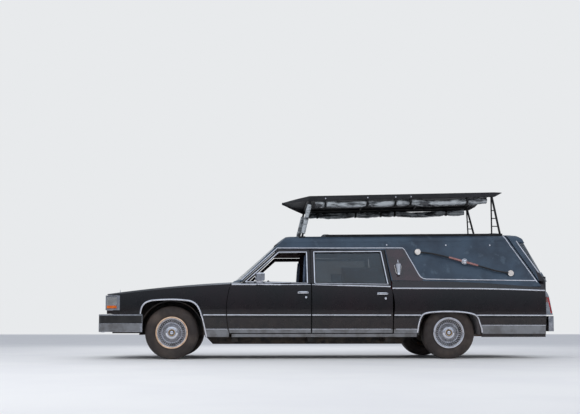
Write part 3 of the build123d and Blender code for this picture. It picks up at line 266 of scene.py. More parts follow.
class Shape:
    """Vertices, faces and the material index of each face, gathered into one piece."""

    def __init__(self):
        self.verts = []
        self.faces = []
        self.marks = []

    def add(self, verts, faces, mark=0):
        base = len(self.verts)
        self.verts += [tuple(v) for v in verts]
        self.faces += [[base + i for i in face] for face in faces]
        self.marks += [mark] * len(faces)
        return self

    def grid(self, rows, mark=0, close_rows=False, close_lines=False):
        """Faces between rows of points."""
        count = len(rows[0])
        verts = [p for row in rows for p in row]
        faces = []
        last_row = len(rows) if close_rows else len(rows) - 1
        last_column = count if close_lines else count - 1
        for i in range(last_row):
            for j in range(last_column):
                a = i * count + j
                b = i * count + (j + 1) % count
                c = (i + 1) % len(rows) * count + (j + 1) % count
                d = (i + 1) % len(rows) * count + j
                faces.append((a, b, c, d))
        return self.add(verts, faces, mark)

    def tube(self, points, radius, steps=8, mark=0, closed=False):
        """Round bar along points; radius is one value or one for each point."""
        points = [Vector(p) for p in points]
        radii = radius if isinstance(radius, (list, tuple)) else [radius] * len(points)
        rows = []
        normal = None
        for i, p in enumerate(points):
            ahead = points[(i + 1) % len(points)] if closed or i + 1 < len(points) else p
            behind = points[i - 1] if closed or i else p
            tangent = (ahead - behind).normalized()
            if normal is None:
                normal = tangent.orthogonal().normalized()
            normal = (normal - tangent * normal.dot(tangent)).normalized()
            other = tangent.cross(normal)
            rows.append([
                p + (normal * math.cos(2 * math.pi * k / steps) + other * math.sin(2 * math.pi * k / steps)) * radii[i]
                for k in range(steps)
            ])
        base = len(self.verts)
        self.grid(rows, mark, closed, True)
        if not closed:
            last = base + (len(rows) - 1) * steps
            self.faces += [list(range(base, base + steps))[::-1], list(range(last, last + steps))]
            self.marks += [mark, mark]
        return self

    def lathe(self, centre, out, profile, steps=64, mark=0, closed=True):
        """Ring round a wheel's axis from (distance outboard, radius) points."""
        x, y, z = centre
        rows = []
        for k in range(steps):
            angle = 2 * math.pi * k / steps
            rows.append([(x + r * math.cos(angle), y + out * a, z + r * math.sin(angle)) for a, r in profile])
        return self.grid(rows, mark, True, closed)

    def strip(self, points, normals, section, mark=0, closed=False):
        """Section (across, up) carried along points whose up directions are normals."""
        rows = []
        count = len(points)
        for i, (p, normal) in enumerate(zip(points, normals)):
            ahead = points[(i + 1) % count] if closed or i + 1 < count else p
            behind = points[i - 1] if closed or i else p
            tangent = (ahead - behind).normalized()
            across = tangent.cross(normal).normalized()
            up = across.cross(tangent).normalized()
            rows.append([p + across * u + up * v for u, v in section])
        base = len(self.verts)
        size = len(section)
        self.grid(rows, mark, closed, True)
        if not closed:
            last = base + (count - 1) * size
            self.faces += [list(range(base, base + size)), list(range(last, last + size))[::-1]]
            self.marks += [mark, mark]
        return self

    def block(self, lo, hi, mark=0):
        verts = [(x, y, z) for x in (lo[0], hi[0]) for y in (lo[1], hi[1]) for z in (lo[2], hi[2])]
        faces = [(0, 1, 3, 2), (4, 6, 7, 5), (0, 4, 5, 1), (2, 3, 7, 6), (0, 2, 6, 4), (1, 5, 7, 3)]
        return self.add(verts, faces, mark)

    def done(self, name, materials, body, slot=None, bevel=0.0, sharp=35.0, subdivide=0):
        mesh = bpy.data.meshes.new(name)
        mesh.from_pydata(self.verts, [], self.faces)
        materials = materials if isinstance(materials, (list, tuple)) else [materials]
        for material in materials:
            mesh.materials.append(material)
        mesh.polygons.foreach_set("material_index", self.marks)
        mesh.polygons.foreach_set("use_smooth", [True] * len(mesh.polygons))
        mesh.validate()
        fix_normals(mesh, sharp)
        obj = bpy.data.objects.new(name, mesh)
        scene.collection.objects.link(obj)
        if bevel:
            modifier = obj.modifiers.new("bevel", "BEVEL")
            modifier.width = bevel
            modifier.segments = 3
            modifier.limit_method = "ANGLE"
        if subdivide:
            obj.modifiers.new("subdivide", "SUBSURF").render_levels = subdivide
        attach(obj, body)
        return obj


def fix_normals(mesh, sharp):
    """Faces look outward, and edges over the sharp angle stay crisp."""
    import bmesh
    made = bmesh.new()
    made.from_mesh(mesh)
    bmesh.ops.recalc_face_normals(made, faces=made.faces)
    limit = math.radians(sharp)
    for edge in made.edges:
        if len(edge.link_faces) == 2 and edge.calc_face_angle(0.0) > limit:
            edge.smooth = False
    made.to_mesh(mesh)
    made.free()


def arc(start, middle, end, count):
    """Points of the arc through three (u, v) points."""
    (ax, ay), (bx, by), (cx, cy) = start, middle, end
    d = 2 * (ax * (by - cy) + bx * (cy - ay) + cx * (ay - by))
    aa, bb, cc = ax * ax + ay * ay, bx * bx + by * by, cx * cx + cy * cy
    ux = (aa * (by - cy) + bb * (cy - ay) + cc * (ay - by)) / d
    uy = (aa * (cx - bx) + bb * (ax - cx) + cc * (bx - ax)) / d
    radius = math.hypot(ax - ux, ay - uy)
    first = math.atan2(ay - uy, ax - ux)
    mid = math.atan2(by - uy, bx - ux)
    last = math.atan2(cy - uy, cx - ux)
    turn = 2 * math.pi
    span = (last - first) % turn
    if (mid - first) % turn > span:
        span -= turn
    return [
        (ux + radius * math.cos(first + span * i / count), uy + radius * math.sin(first + span * i / count))
        for i in range(count + 1)
    ]


TREES = {}


def surface(node):
    if node not in TREES:
        mesh = NODES[node].data
        TREES[node] = BVHTree.FromPolygons([v.co for v in mesh.vertices], [tuple(p.vertices) for p in mesh.polygons])
    return TREES[node]


def side_hit(node, side, x, z):
    """Point and outward normal of a node's outer side at (x, z), or None."""
    hit = surface(node).ray_cast(Vector((x, side * 2.0, z)), Vector((0, -side, 0)))
    if hit[0] is None or side * hit[0].y < 0.5:
        return None
    normal = hit[1] if hit[1].y * side > 0 else -hit[1]
    return hit[0], normal


def resampled(path, step):
    """Points along straight runs, evenly spaced and with the corners kept."""
    found = [path[0]]
    for start, end in zip(path, path[1:]):
        length = math.dist(start, end)
        count = max(1, round(length / step))
        for i in range(1, count + 1):
            share = i / count
            found.append(tuple(a + (b - a) * share for a, b in zip(start, end)))
    return found


def half_round(width, depth, count=8):
    section = [(width / 2, -0.002)]
    for i in range(count + 1):
        angle = math.pi * i / count
        section.append((width / 2 * math.cos(angle), depth * math.sin(angle)))
    return section + [(-width / 2, -0.002)]


def molding(name, node, body, side, path, width, depth, material, slot, step=0.03):
    """Half-round trim laid along (x, z) points on a node's outer side."""
    points = []
    normals = []
    for x, z in resampled(path, step):
        found = side_hit(node, side, x, z)
        if found:
            points.append(found[0])
            normals.append(found[1])
    if len(points) < 2:
        return None
    return Shape().strip(points, normals, half_round(width, depth)).done(name, material, body, slot, sharp=50)


def row_limits(rows, share):
    """(z, x start, x end) at a share of the way through the rows."""
    place = share * (len(rows) - 1)
    index = min(int(place), len(rows) - 2)
    part = place - index
    return [a + (b - a) * part for a, b in zip(rows[index], rows[index + 1])]


def overlay(name, node, body, side, rows, offset, material, slot, columns=40, lines=10):
    """Thin skin on a node's outer side, between rows of (z, x start, x end)."""
    outer = []
    inner = []
    for i in range(lines + 1):
        z, x0, x1 = row_limits(rows, i / lines)
        step = math.copysign(0.003, x1 - x0)
        while side_hit(node, side, x0, z) is None and (x1 - x0) * step > 0:
            x0 += step
        while side_hit(node, side, x1, z) is None and (x1 - x0) * step > 0:
            x1 -= step
        if (x1 - x0) * step <= 0:
            continue
        line = []
        back = []
        last = None
        for j in range(columns + 1):
            found = side_hit(node, side, x0 + (x1 - x0) * j / columns, z) or last
            last = found
            line.append(found[0] + found[1] * offset)
            back.append(found[0] - found[1] * 0.001)
        outer.append(line)
        inner.append(back)
    if len(outer) < 2:
        return None
    loop_rows = [line + back[::-1] for line, back in zip(outer, inner)]
    shape = Shape().grid(loop_rows, 0, False, True)
    count = len(loop_rows[0])
    for start in (0, (len(loop_rows) - 1) * count):
        for j in range(columns):
            shape.faces.append([start + j, start + j + 1, start + count - 2 - j, start + count - 1 - j])
            shape.marks.append(0)
    return shape.done(name, material, body, slot, sharp=40)


# Carried-over nodes

def dress(material, *nodes):
    for node in nodes:
        NODES[node].data.materials.clear()
        NODES[node].data.materials.append(material)


def dress_inside(node, material, test):
    """Gives the faces that pass the test a second material."""
    mesh = NODES[node].data
    mesh.materials.append(material)
    index = len(mesh.materials) - 1
    for face in mesh.polygons:
        if test(face.center, face.normal):
            face.material_index = index


def looks_in(centre, normal):
    return normal.y * centre.y < -0.25 * abs(centre.y)


def dress_nodes():
    dress(FRAME, "chassis_frame", "front_suspension", "rear_axle", "knuckle_left", "knuckle_right", "fuel_tank")
    dress(FRAME, "front_wheelhouses", "floor_pan")
    dress(IRON, "engine")
    dress(STEEL, "exhaust")
    dress(PAINT, "cowl", "nose_panel", "front_fenders", "hood", "rocker_sills", "quarter_panels")
    dress(PAINT, "front_door_left", "front_door_right", "side_door_left", "side_door_right", "rear_door")
    dress(CHROME, "grille", "headlamps", "front_bumper", "rear_bumper", "tail_lamps", "coach_lamps")
    dress(VINYL, "roof_front", "side_panels", "rear_header")
    dress(GLASS, "windscreen")
    dress(TINTED, "side_glass_left", "side_glass_right", "rear_door_glass")
    dress(TUBE, "canopy_frame")
    dress(RUBBER, "landau_bars")
    dress(CARPET, "bench_plinths")
    dress(DASH, "dashboard", "steering_wheel")
    for node in ("roof_front", "side_panels"):
        dress_inside(node, LINER, lambda c, n: looks_in(c, n) or n.z < -0.3)
    for node in ("front_door_left", "front_door_right", "side_door_left", "side_door_right"):
        dress_inside(node, DASH, lambda c, n: looks_in(c, n) and c.z < 1.06)
        dress_inside(node, CHROME, lambda c, n: abs(c.y) > 0.966 and (c.z > 1.0 or 0.875 < c.z < 0.920))
    dress_inside("floor_pan", CARPET, lambda c, n: n.z > 0.3 or (n.x < -0.5 and 0.3 < c.z) or (n.x > 0.5 and c.x < -1))
    dress_inside("rear_door", VINYL, lambda c, n: c.z > 1.16 and not looks_in(c, n))
    dress_inside("rear_door", CHROME, lambda c, n: c.x > 3.1605)


dress_nodes()


# Wheels and tyres

FRONT_X = -2.1
REAR_X = 1.7
TRACK = 0.785
AXLE_Z = 0.359
TYRE_R = 0.359
RIM_R = 0.190
GROOVES = (-0.046, -0.016, 0.016, 0.046)
GROOVE_HALF = 0.004


def tread_radius(a, step):
    """Tread height at a distance from the middle, with grooves and cross cuts."""
    if any(abs(a - g) <= GROOVE_HALF for g in GROOVES):
        return TYRE_R - 0.009
    wave = step + round(a * 120)
    if wave % 5 == 0 and (abs(a) > 0.05 or abs(abs(a) - 0.031) < 0.009):
        return TYRE_R - 0.005
    return TYRE_R


def tyre(place, side_name, side, x):
    name = place + "_" + side_name
    shape = Shape()
    wall = arc((0.075, RIM_R + 0.017), (0.110, 0.275), (0.088, 0.350), 14)
    ridges = {4: 0.0012, 5: 0.0012, 10: 0.0014}
    wall = [(a + ridges.get(i, 0.0), r) for i, (a, r) in enumerate(wall)]
    lip = [(0.061, RIM_R + 0.0005), (0.075, RIM_R + 0.0005)]
    outer = lip + wall
    stations = [0.080, 0.074]
    for g in reversed(GROOVES):
        stations += [g + GROOVE_HALF + 0.0015, g + GROOVE_HALF, g - GROOVE_HALF, g - GROOVE_HALF - 0.0015]
    stations += [-0.074, -0.080]
    stations += [0.060, 0.038, 0.024, 0.0, -0.024, -0.038, -0.060]
    stations = sorted(set(stations), reverse=True)
    steps = 240
    rows = []
    for k in range(steps):
        angle = 2 * math.pi * k / steps
        profile = list(outer)
        for a in stations:
            drop = 0.003 if abs(a) > 0.077 else 0.0
            profile.append((a, tread_radius(a, k) - drop))
        profile += [(-a, r) for a, r in reversed(outer)]
        rows.append([
            (x + r * math.cos(angle), side * (TRACK + a), AXLE_Z + r * math.sin(angle)) for a, r in profile
        ])
    shape.grid(rows, 0, True, True)
    body = place + "_wheel_" + side_name
    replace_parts(shape.done("tread_" + name, TYRE, body, "tyre_rubber", sharp=40), "tyre_" + name)


WIRES = 36
BEADS = 30


def wheel(place, side_name, side, x):
    """Wire-pattern cover: bright ring, dark dish, crossing wires, beads and a domed middle."""
    name = place + "_" + side_name
    centre = (x, side * TRACK, AXLE_Z)
    shape = Shape()
    rim = [
        (-0.084, 0.204), (-0.080, 0.204), (-0.0785, 0.190), (0.0785, 0.190), (0.080, 0.204), (0.084, 0.204),
        (0.084, 0.178), (0.060, 0.174), (0.034, 0.160), (-0.060, 0.160), (-0.084, 0.184),
    ]
    shape.lathe(centre, side, rim, 96, 1)
    shape.lathe(centre, side, [(0.020, 0.0), (0.020, 0.160), (0.038, 0.160), (0.046, 0.120), (0.046, 0.0)], 48, 3)
    dish = [(0.090, 0.200), (0.086, 0.190), (0.070, 0.176), (0.060, 0.140), (0.056, 0.126), (0.062, 0.0)]
    shape.lathe(centre, side, dish, 96, 3, False)
    ring = [(0.088, 0.199)] + arc((0.093, 0.198), (0.0985, 0.207), (0.094, 0.217), 8) + [(0.089, 0.217)]
    shape.lathe(centre, side, ring, 120, 2)
    step_ring = [(0.084, 0.186)] + arc((0.088, 0.187), (0.0905, 0.192), (0.088, 0.197), 6) + [(0.084, 0.198)]
    shape.lathe(centre, side, step_ring, 120, 0)
    band = [(0.066, 0.126)] + arc((0.072, 0.127), (0.0765, 0.133), (0.072, 0.140), 6) + [(0.062, 0.141)]
    shape.lathe(centre, side, band, 96, 0)

    def at(radius, a, angle):
        return (x + radius * math.cos(angle), side * (TRACK + a), AXLE_Z + radius * math.sin(angle))

    for k in range(WIRES):
        angle = 2 * math.pi * k / WIRES
        for lean in (-0.07, 0.07):
            shape.tube([at(0.139, 0.070, angle - lean), at(0.188, 0.086, angle + lean)], 0.0023, 6, 0)
        for lean in (-0.09, 0.09):
            shape.tube([at(0.084, 0.083, angle - lean), at(0.128, 0.072, angle + lean)], 0.0021, 6, 0)
    for k in range(BEADS):
        angle = 2 * math.pi * (k + 0.5) / BEADS
        shape.tube([at(0.1265, 0.078, angle), at(0.1335, 0.081, angle), at(0.1405, 0.078, angle)],
                   [0.003, 0.0075, 0.003], 8, 0)
    hub = [(0.060, 0.088), (0.080, 0.087), (0.086, 0.083)]
    hub += arc((0.086, 0.083), (0.0945, 0.070), (0.096, 0.052), 8)[1:]
    hub += [(0.0925, 0.050), (0.0925, 0.046), (0.096, 0.044)]
    shape.lathe(centre, side, hub, 96, 0, False)
    shape.lathe(centre, side, [(0.096, 0.044), (0.0985, 0.041), (0.0985, 0.037), (0.096, 0.035)], 72, 4, False)
    shape.lathe(centre, side, [(0.096, 0.035), (0.0975, 0.024)], 72, 5, False)
    cap = arc((0.0975, 0.024), (0.1015, 0.014), (0.103, 0.0005), 6)
    shape.lathe(centre, side, cap, 48, 0, False)
    ring_material = CREAM if place == "front" else CHROME
    materials = [CHROME, IRON, ring_material, DARK, GOLD, MAROON]
    body = place + "_wheel_" + side_name
    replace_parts(shape.done("cover_" + name, materials, body, "wheel_chrome", sharp=30), "wheel_" + name)


for place, side_name, side in PLACES:
    axle_x = FRONT_X if place == "front" else REAR_X
    tyre(place, side_name, side, axle_x)
    wheel(place, side_name, side, axle_x)


# Side trim

MID_Z = 0.598
MID_WIDTH = 0.019
# columns: name, node, body, (x, z) points, width, depth
BELT = [
    ("belt_front_door", "front_door", "front_door", [(-1.292, 1.012), (-0.219, 1.014)]),
    ("belt_side_door", "side_door", "side_door", [(-0.200, 1.013), (0.878, 0.990)]),
    ("belt_quarter", "quarter_panels", "root", [(0.905, 0.967), (2.115, 0.966), (2.60, 0.957), (3.052, 0.944)]),
]
WAIST = [
    ("waist_fender", "front_fenders", "root", [(-1.672, MID_Z), (-1.368, MID_Z)]),
    ("waist_front_door", "front_door", "front_door", [(-1.352, MID_Z), (-0.219, MID_Z)]),
    ("waist_side_door", "side_door", "side_door", [(-0.200, MID_Z), (0.908, MID_Z)]),
    ("waist_quarter_front", "quarter_panels", "root", [(0.926, MID_Z), (1.290, MID_Z)]),
    ("waist_quarter_rear", "quarter_panels", "root", [(2.060, MID_Z), (3.052, MID_Z)]),
]


def sided(node, side_name):
    """Node or body name for a side, where it has one for each."""
    return node + "_" + side_name if node in ("front_door", "side_door", "side_glass") else node


FRONT_WINDOW = [(-1.096, 1.064), (-0.268, 1.046), (-0.268, 1.470), (-0.636, 1.466), (-1.096, 1.064)]
REAR_WINDOW = [(-0.146, 1.044), (0.846, 1.036), (0.776, 1.486), (-0.146, 1.474), (-0.146, 1.044)]


def around(loop, grow):
    """The loop moved outward from its middle."""
    cx = sum(p[0] for p in loop[:-1]) / (len(loop) - 1)
    cz = sum(p[1] for p in loop[:-1]) / (len(loop) - 1)
    return [(x + math.copysign(grow, x - cx), z + math.copysign(grow, z - cz)) for x, z in loop]


DRIP_FRONT = [(-1.158, 1.076), (-0.664, 1.536), (0.074, 1.540)]
DRIP_REAR = [
    (0.077, 1.540), (1.098, 1.548), (1.125, 1.520), (1.292, 1.178), (1.318, 1.135), (1.355, 1.108), (1.40, 1.100),
    (2.958, 1.084),
]
TAIL_GLASS_EDGE = [(2.738, 1.662), (3.001, 1.204), (3.075, 1.198)]
TAIL_EDGE = [(2.560, 1.735), (2.640, 1.600), (2.770, 1.385), (2.962, 1.060)]
FRONT_ARCH = [
    (-2.517, 0.612), (-2.512, 0.650), (-2.496, 0.704), (-2.453, 0.759), (-2.376, 0.790), (-2.300, 0.798),
    (-2.221, 0.803), (-2.072, 0.806), (-1.922, 0.797), (-1.828, 0.779), (-1.757, 0.726), (-1.708, 0.633),
    (-1.672, 0.510), (-1.643, 0.372), (-1.630, 0.305),
]
REAR_ARCH = [
    (1.249, 0.362), (1.262, 0.470), (1.286, 0.556), (1.318, 0.603), (1.380, 0.630), (1.520, 0.645),
    (1.700, 0.649), (1.880, 0.640), (2.020, 0.614), (2.080, 0.572), (2.122, 0.500), (2.143, 0.410), (2.150, 0.362),
]


def smooth_path(points, per=4):
    """Catmull-Rom curve through (x, z) points."""
    found = []
    padded = [points[0]] + list(points) + [points[-1]]
    for a, b, c, d in zip(padded, padded[1:], padded[2:], padded[3:]):
        for i in range(per):
            t = i / per
            found.append(tuple(
                0.5 * (2 * q + (r - p) * t + (2 * p - 5 * q + 4 * r - s) * t * t + (3 * q - p - 3 * r + s) * t ** 3)
                for p, q, r, s in zip(a, b, c, d)
            ))
    return found + [points[-1]]


def side_trim():
    for side_name, side in SIDES:
        for name, node, body, path in BELT:
            molding(name + "_" + side_name, sided(node, side_name), sided(body, side_name), side, path,
                    0.018, 0.006, CHROME, "chrome_trim")
        for name, node, body, path in WAIST:
            node = sided(node, side_name)
            body = sided(body, side_name)
            molding(name + "_" + side_name, node, body, side, path, MID_WIDTH, 0.010, CHROME, "chrome_trim")
            low = [(x, z - 0.022) for x, z in path]
            molding(name + "_insert_" + side_name, node, body, side, low, 0.020, 0.007, RUBBER, "dash_plastic")
        for name, loop in (("front_door", FRONT_WINDOW), ("side_door", REAR_WINDOW)):
            node = sided(name, side_name)
            molding(name + "_window_trim_" + side_name, node, node, side, around(loop, 0.010), 0.016, 0.005,
                    CHROME, "chrome_trim")
            molding(name + "_window_seal_" + side_name, node, node, side, around(loop, 0.0015), 0.006, 0.004,
                    RUBBER, "dash_plastic")
        molding("drip_front_" + side_name, "roof_front", "root", side, DRIP_FRONT, 0.016, 0.010, CHROME, "chrome_trim")
        molding("drip_rear_" + side_name, "side_panels", "root", side, DRIP_REAR, 0.016, 0.008, CHROME, "chrome_trim")
        molding("tail_edge_" + side_name, "side_panels", "root", side, TAIL_EDGE, 0.014, 0.006, CHROME, "chrome_trim")
        molding("tail_glass_trim_" + side_name, "rear_door", "rear_door", side, TAIL_GLASS_EDGE, 0.014, 0.005,
                CHROME, "chrome_trim", 0.02)
        molding("front_arch_lip_" + side_name, "front_fenders", "root", side, smooth_path(FRONT_ARCH), 0.022, 0.008,
                CHROME, "chrome_trim", 0.02)
        molding("rear_arch_lip_" + side_name, "quarter_panels", "root", side, smooth_path(REAR_ARCH), 0.022, 0.008,
                CHROME, "chrome_trim", 0.02)


BAND_T = 0.004
# columns: name, node, body, rows of (z, x start, x end)
BANDS = [
    ("band_fender", "front_fenders", "root", [(0.303, -1.640, -1.322), (0.408, -1.664, -1.326)]),
    ("band_front_door", "front_door", "front_door", [(0.357, -1.318, -0.219), (0.408, -1.330, -0.219)]),
    ("band_side_door", "side_door", "side_door", [(0.357, -0.200, 0.909), (0.408, -0.200, 0.909)]),
    ("band_quarter_front", "quarter_panels", "root", [(0.350, 0.918, 1.243), (0.408, 0.918, 1.250)]),
    ("band_sill", "rocker_sills", "root", [(0.302, -1.300, 1.238), (0.344, -1.300, 1.238)]),
    ("band_quarter_rear", "quarter_panels", "root", [(0.345, 2.154, 3.050), (0.462, 2.138, 3.050)]),
]


def silver_bands():
    for side_name, side in SIDES:
        for name, node, body, rows in BANDS:
            node = sided(node, side_name)
            body = sided(body, side_name)
            overlay(name + "_" + side_name, node, body, side, rows, BAND_T, SILVER, "chrome_trim", 50, 6)
            if name != "band_sill":
                top = rows[-1]
                path = [(top[1], top[0]), (top[2], top[0])]
                molding(name + "_edge_" + side_name, node, body, side, path, 0.010, 0.007, CHROME, "chrome_trim")


PANEL_ROWS = [(1.048, 0.925, 1.350), (1.105, 0.922, 1.345), (1.135, 0.915, 1.306), (1.178, 0.906, 1.284),
              (1.350, 0.880, 1.198), (1.528, 0.856, 1.112)]


def lamp_panels():
    for side_name, side in SIDES:
        rows = [PANEL_ROWS[0]] + [PANEL_ROWS[i] for i in range(1, len(PANEL_ROWS))]
        overlay("lantern_panel_" + side_name, "side_panels", "root", side, rows, 0.003, MAROON, "body_black", 24, 40)


side_trim()
silver_bands()
lamp_panels()


# Doors' small parts

def door_hardware():
    for side_name, side in SIDES:
        # columns: node, handle start x, handle end x, z
        for door, x0, x1, z in (("front_door", -0.385, -0.262, 0.905), ("side_door", 0.706, 0.829, 0.892)):
            node = sided(door, side_name)
            face_y = abs(side_hit(node, side, x0 - 0.03, z)[0].y)
            y = side * (face_y + 0.021)
            shape = Shape()
            bar = [(x0 - 0.006 + (x1 - x0 + 0.012) * i / 8, y, z + 0.002 * math.sin(math.pi * i / 8)) for i in range(9)]
            shape.tube(bar, [0.006, 0.011, 0.013, 0.0135, 0.0135, 0.0135, 0.013, 0.012, 0.009], 12, 0)
            plate = [(x0 - 0.012, z), (x1 + 0.012, z)]
            done = shape.done(door + "_handle_" + side_name, CHROME, node, "chrome_trim")
            molding(door + "_handle_plate_" + side_name, node, node, side, plate, 0.030, 0.003, CHROME, "chrome_trim")
            lock = Shape()
            lock_x = x1 - 0.022
            lock_z = z - 0.065
            face = side_hit(node, side, lock_x, lock_z)[0]
            lock.lathe((lock_x, face.y, lock_z), side, [(-0.001, 0.015), (0.004, 0.015), (0.006, 0.011), (0.004, 0.008),
                                                      (0.005, 0.0005)], 24, 0, False)
            lock.done(door + "_lock_" + side_name, CHROME, node, "chrome_trim")
        mirror = Shape()
        low, high = Vector((-0.975, side * 0.972, 1.072)), Vector((-0.852, side * 1.088, 1.160))
        mirror.block((-0.8515, min(low.y, high.y), 1.074), (-0.8495, max(low.y, high.y), 1.156), 0)
        node = sided("front_door", side_name)
        mirror.done("mirror_glass_" + side_name, CHROME, node, "chrome_trim")


door_hardware()


# Lamps

def headlamp_lenses():
    """Ribbed lenses in the chrome bezels, with the amber strip below and round the corner."""
    z0, z1 = 0.662, 0.860
    for side_name, side in SIDES:
        for number, y in enumerate((0.522, 0.742)):
            shape = Shape()
            shape.block((-2.9675, side * y - 0.094, z0 + 0.062), (-2.9655, side * y + 0.094, z1 - 0.018), 1)
            rows = []
            ribs = 60
            for i in range(ribs + 1):
                yy = side * y - 0.092 + 0.184 * i / ribs
                depth = 0.0015 * math.sin(math.pi * i) + (0.0012 if i % 2 else 0.0)
                rows.append([(-2.984 - depth, yy, z0 + 0.064), (-2.984 - depth, yy, z1 - 0.020),
                             (-2.979, yy, z1 - 0.020), (-2.979, yy, z0 + 0.064)])
            shape.grid(rows, 0, False, True)
            ends = len(shape.verts)
            shape.faces += [list(range(8, 12)), list(range(ends - 4, ends))]
            shape.marks += [0, 0]
            shape.done("front_lens_%d_%s" % (number, side_name), [LENS, CHROME], "root", "chrome_trim")
        strip = Shape().block((-2.986, min(side * 0.410, side * 0.850), z0 + 0.014),
                              (-2.972, max(side * 0.410, side * 0.850), z0 + 0.044))
        strip.done("amber_front_" + side_name, AMBER, "root", "lamp_red", bevel=0.003)
        overlay("side_lens_back_" + side_name, "headlamps", "root", side,
                [(0.728, -2.966, -2.832), (0.838, -2.966, -2.832)], 0.0015, SILVER, "chrome_trim", 20, 6)
        overlay("side_lens_" + side_name, "headlamps", "root", side,
                [(0.730, -2.964, -2.834), (0.836, -2.964, -2.834)], 0.006, LENS, "chrome_trim", 26, 8)
        overlay("amber_side_" + side_name, "headlamps", "root", side,
                [(0.688, -2.964, -2.834), (0.722, -2.964, -2.834)], 0.006, AMBER, "lamp_red", 20, 4)
        for z in (0.846, 0.682):
            overlay("lamp_gap_%d_%s" % (z * 1000, side_name), "headlamps", "root", side,
                    [(z, -2.966, -2.832), (z + 0.005, -2.966, -2.832)], 0.002, RUBBER, "dash_plastic", 16, 2)
        overlay("lamp_bar_" + side_name, "headlamps", "root", side,
                [(0.664, -2.822, -2.794), (0.858, -2.822, -2.794)], 0.010, CHROME, "chrome_trim", 6, 20)


def tail_lenses():
    """Red lens with its bright surround on the slanted rear of each lamp."""
    line = [(3.0905, 0.905), (3.112, 0.855), (3.130, 0.765), (3.146, 0.690), (3.158, 0.618)]
    for side_name, side in SIDES:
        shape = Shape()
        y0, y1 = side * 0.806, side * 0.898
        rows = []
        for x, z in resampled(line, 0.02):
            rows.append([(x - 0.004, y0, z), (x + 0.006, y0 + side * 0.006, z), (x + 0.008, (y0 + y1) / 2, z),
                         (x + 0.006, y1 - side * 0.006, z), (x - 0.004, y1, z)])
        shape.grid(rows, 0, False, True)
        size = 5
        last = len(shape.verts) - size
        shape.faces += [list(range(size)), list(range(last, last + size))]
        shape.marks += [0, 0]
        shape.done("tail_lens_" + side_name, RED, "root", "lamp_red", sharp=60)
        overlay("tail_side_lens_" + side_name, "tail_lamps", "root", side,
                [(0.630, 3.130, 3.150), (0.760, 3.104, 3.124), (0.850, 3.082, 3.104)], 0.003, RED, "lamp_red", 6, 20)
        overlay("tail_side_upper_" + side_name, "tail_lamps", "root", side,
                [(0.780, 3.066, 3.092), (0.858, 3.064, 3.080)], 0.004, PINK, "lamp_red", 6, 12)


headlamp_lenses()
tail_lenses()


def wrap_band(name, node, centre, angles, rows, material, slot, offset, steps=120):
    """Band round a bumper, cast from outside towards a point on its middle line."""
    tree = surface(node)
    outer = []
    for i in range(steps + 1):
        angle = math.radians(angles[0] + (angles[1] - angles[0]) * i / steps)
        out = Vector((math.cos(angle), math.sin(angle), 0))
        column = []
        for z in rows:
            start = Vector((centre, 0, z)) + out * 3
            hit = tree.ray_cast(start, -out)
            column.append(None if hit[0] is None else (hit[0], out))
        if all(column):
            line = [p + o * offset for p, o in column]
            back = [p - o * 0.002 for p, o in reversed(column)]
            outer.append(line + back)
    shape = Shape().grid(outer, 0, False, True)
    size = len(outer[0])
    last = (len(outer) - 1) * size
    shape.faces += [list(range(size)), list(range(last, last + size))]
    shape.marks += [0, 0]
    return shape.done(name, material, "root", slot, sharp=40)


wrap_band("front_rub_band", "front_bumper", -2.485, (90.5, 269.5), [0.486, 0.500, 0.574, 0.588], RUBBER, "tyre_rubber", 0.006)
wrap_band("front_bumper_skirt", "front_bumper", -2.50, (91, 269), [0.374, 0.400, 0.455, 0.481], SILVER, "chrome_trim",
          0.0015)
wrap_band("rear_rub_band", "rear_bumper", 2.30, (-45, 45), [0.480, 0.490, 0.545, 0.555], RUBBER, "tyre_rubber", 0.008)


# Front ornament, wipers and lantern glass

def ornament():
    foot = (-2.925, 0.0, 0.915)
    shape = Shape()
    shape.lathe((foot[0], 0.0, foot[2] - 0.006), 1, [(-0.012, 0.02), (0.012, 0.02)], 16, 0, True)
    post = [(foot[0], 0, 0.900), (foot[0], 0, 0.925), (foot[0] - 0.002, 0, 0.955), (foot[0] - 0.004, 0, 0.985)]
    shape.tube(post, [0.014, 0.006, 0.004, 0.0015], 12, 0)
    shape.done("hood_ornament", CHROME, "hood", "chrome_trim")


def wipers():
    tree = surface("windscreen")
    for number, y in enumerate((-0.42, 0.26)):
        points = []
        for i in range(15):
            yy = y + 0.5 * i / 14
            hit = tree.ray_cast(Vector((-3.0, yy, 1.125 + 0.010 * i / 14)), Vector((1, 0, 0.25)))
            if hit[0]:
                points.append(hit[0] + Vector((-0.012, 0, 0.006)))
        if len(points) > 2:
            shape = Shape().tube(points, 0.005, 8, 0)
            arm_foot = Vector((-1.235, y + 0.02, 1.080))
            shape.tube([arm_foot, (arm_foot + points[7]) / 2 + Vector((-0.01, 0, 0.015)), points[7]], 0.006, 8, 0)
            shape.done("wiper_%d" % number, RUBBER, "root", "dash_plastic")


def lantern_glass():
    """Bright cage round each lantern's glass body."""
    low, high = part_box("coach_lamps")
    for side_name, side in SIDES:
        shape = Shape()
        y = side * (high.y - 0.052)
        x = (low.x + high.x) / 2
        z0 = low.z + 0.030
        lean = -0.30 * side
        for k in range(8):
            angle = 2 * math.pi * k / 8
            foot = Vector((x + 0.026 * math.cos(angle), y + 0.026 * math.sin(angle), z0))
            top = foot + Vector((0.024 * math.cos(angle), 0.024 * math.sin(angle) + lean * 0.12, 0.118))
            shape.tube([foot, top], 0.004, 6, 0)
        shape.done("lantern_cage_" + side_name, WIRE, "root", "chrome_trim")


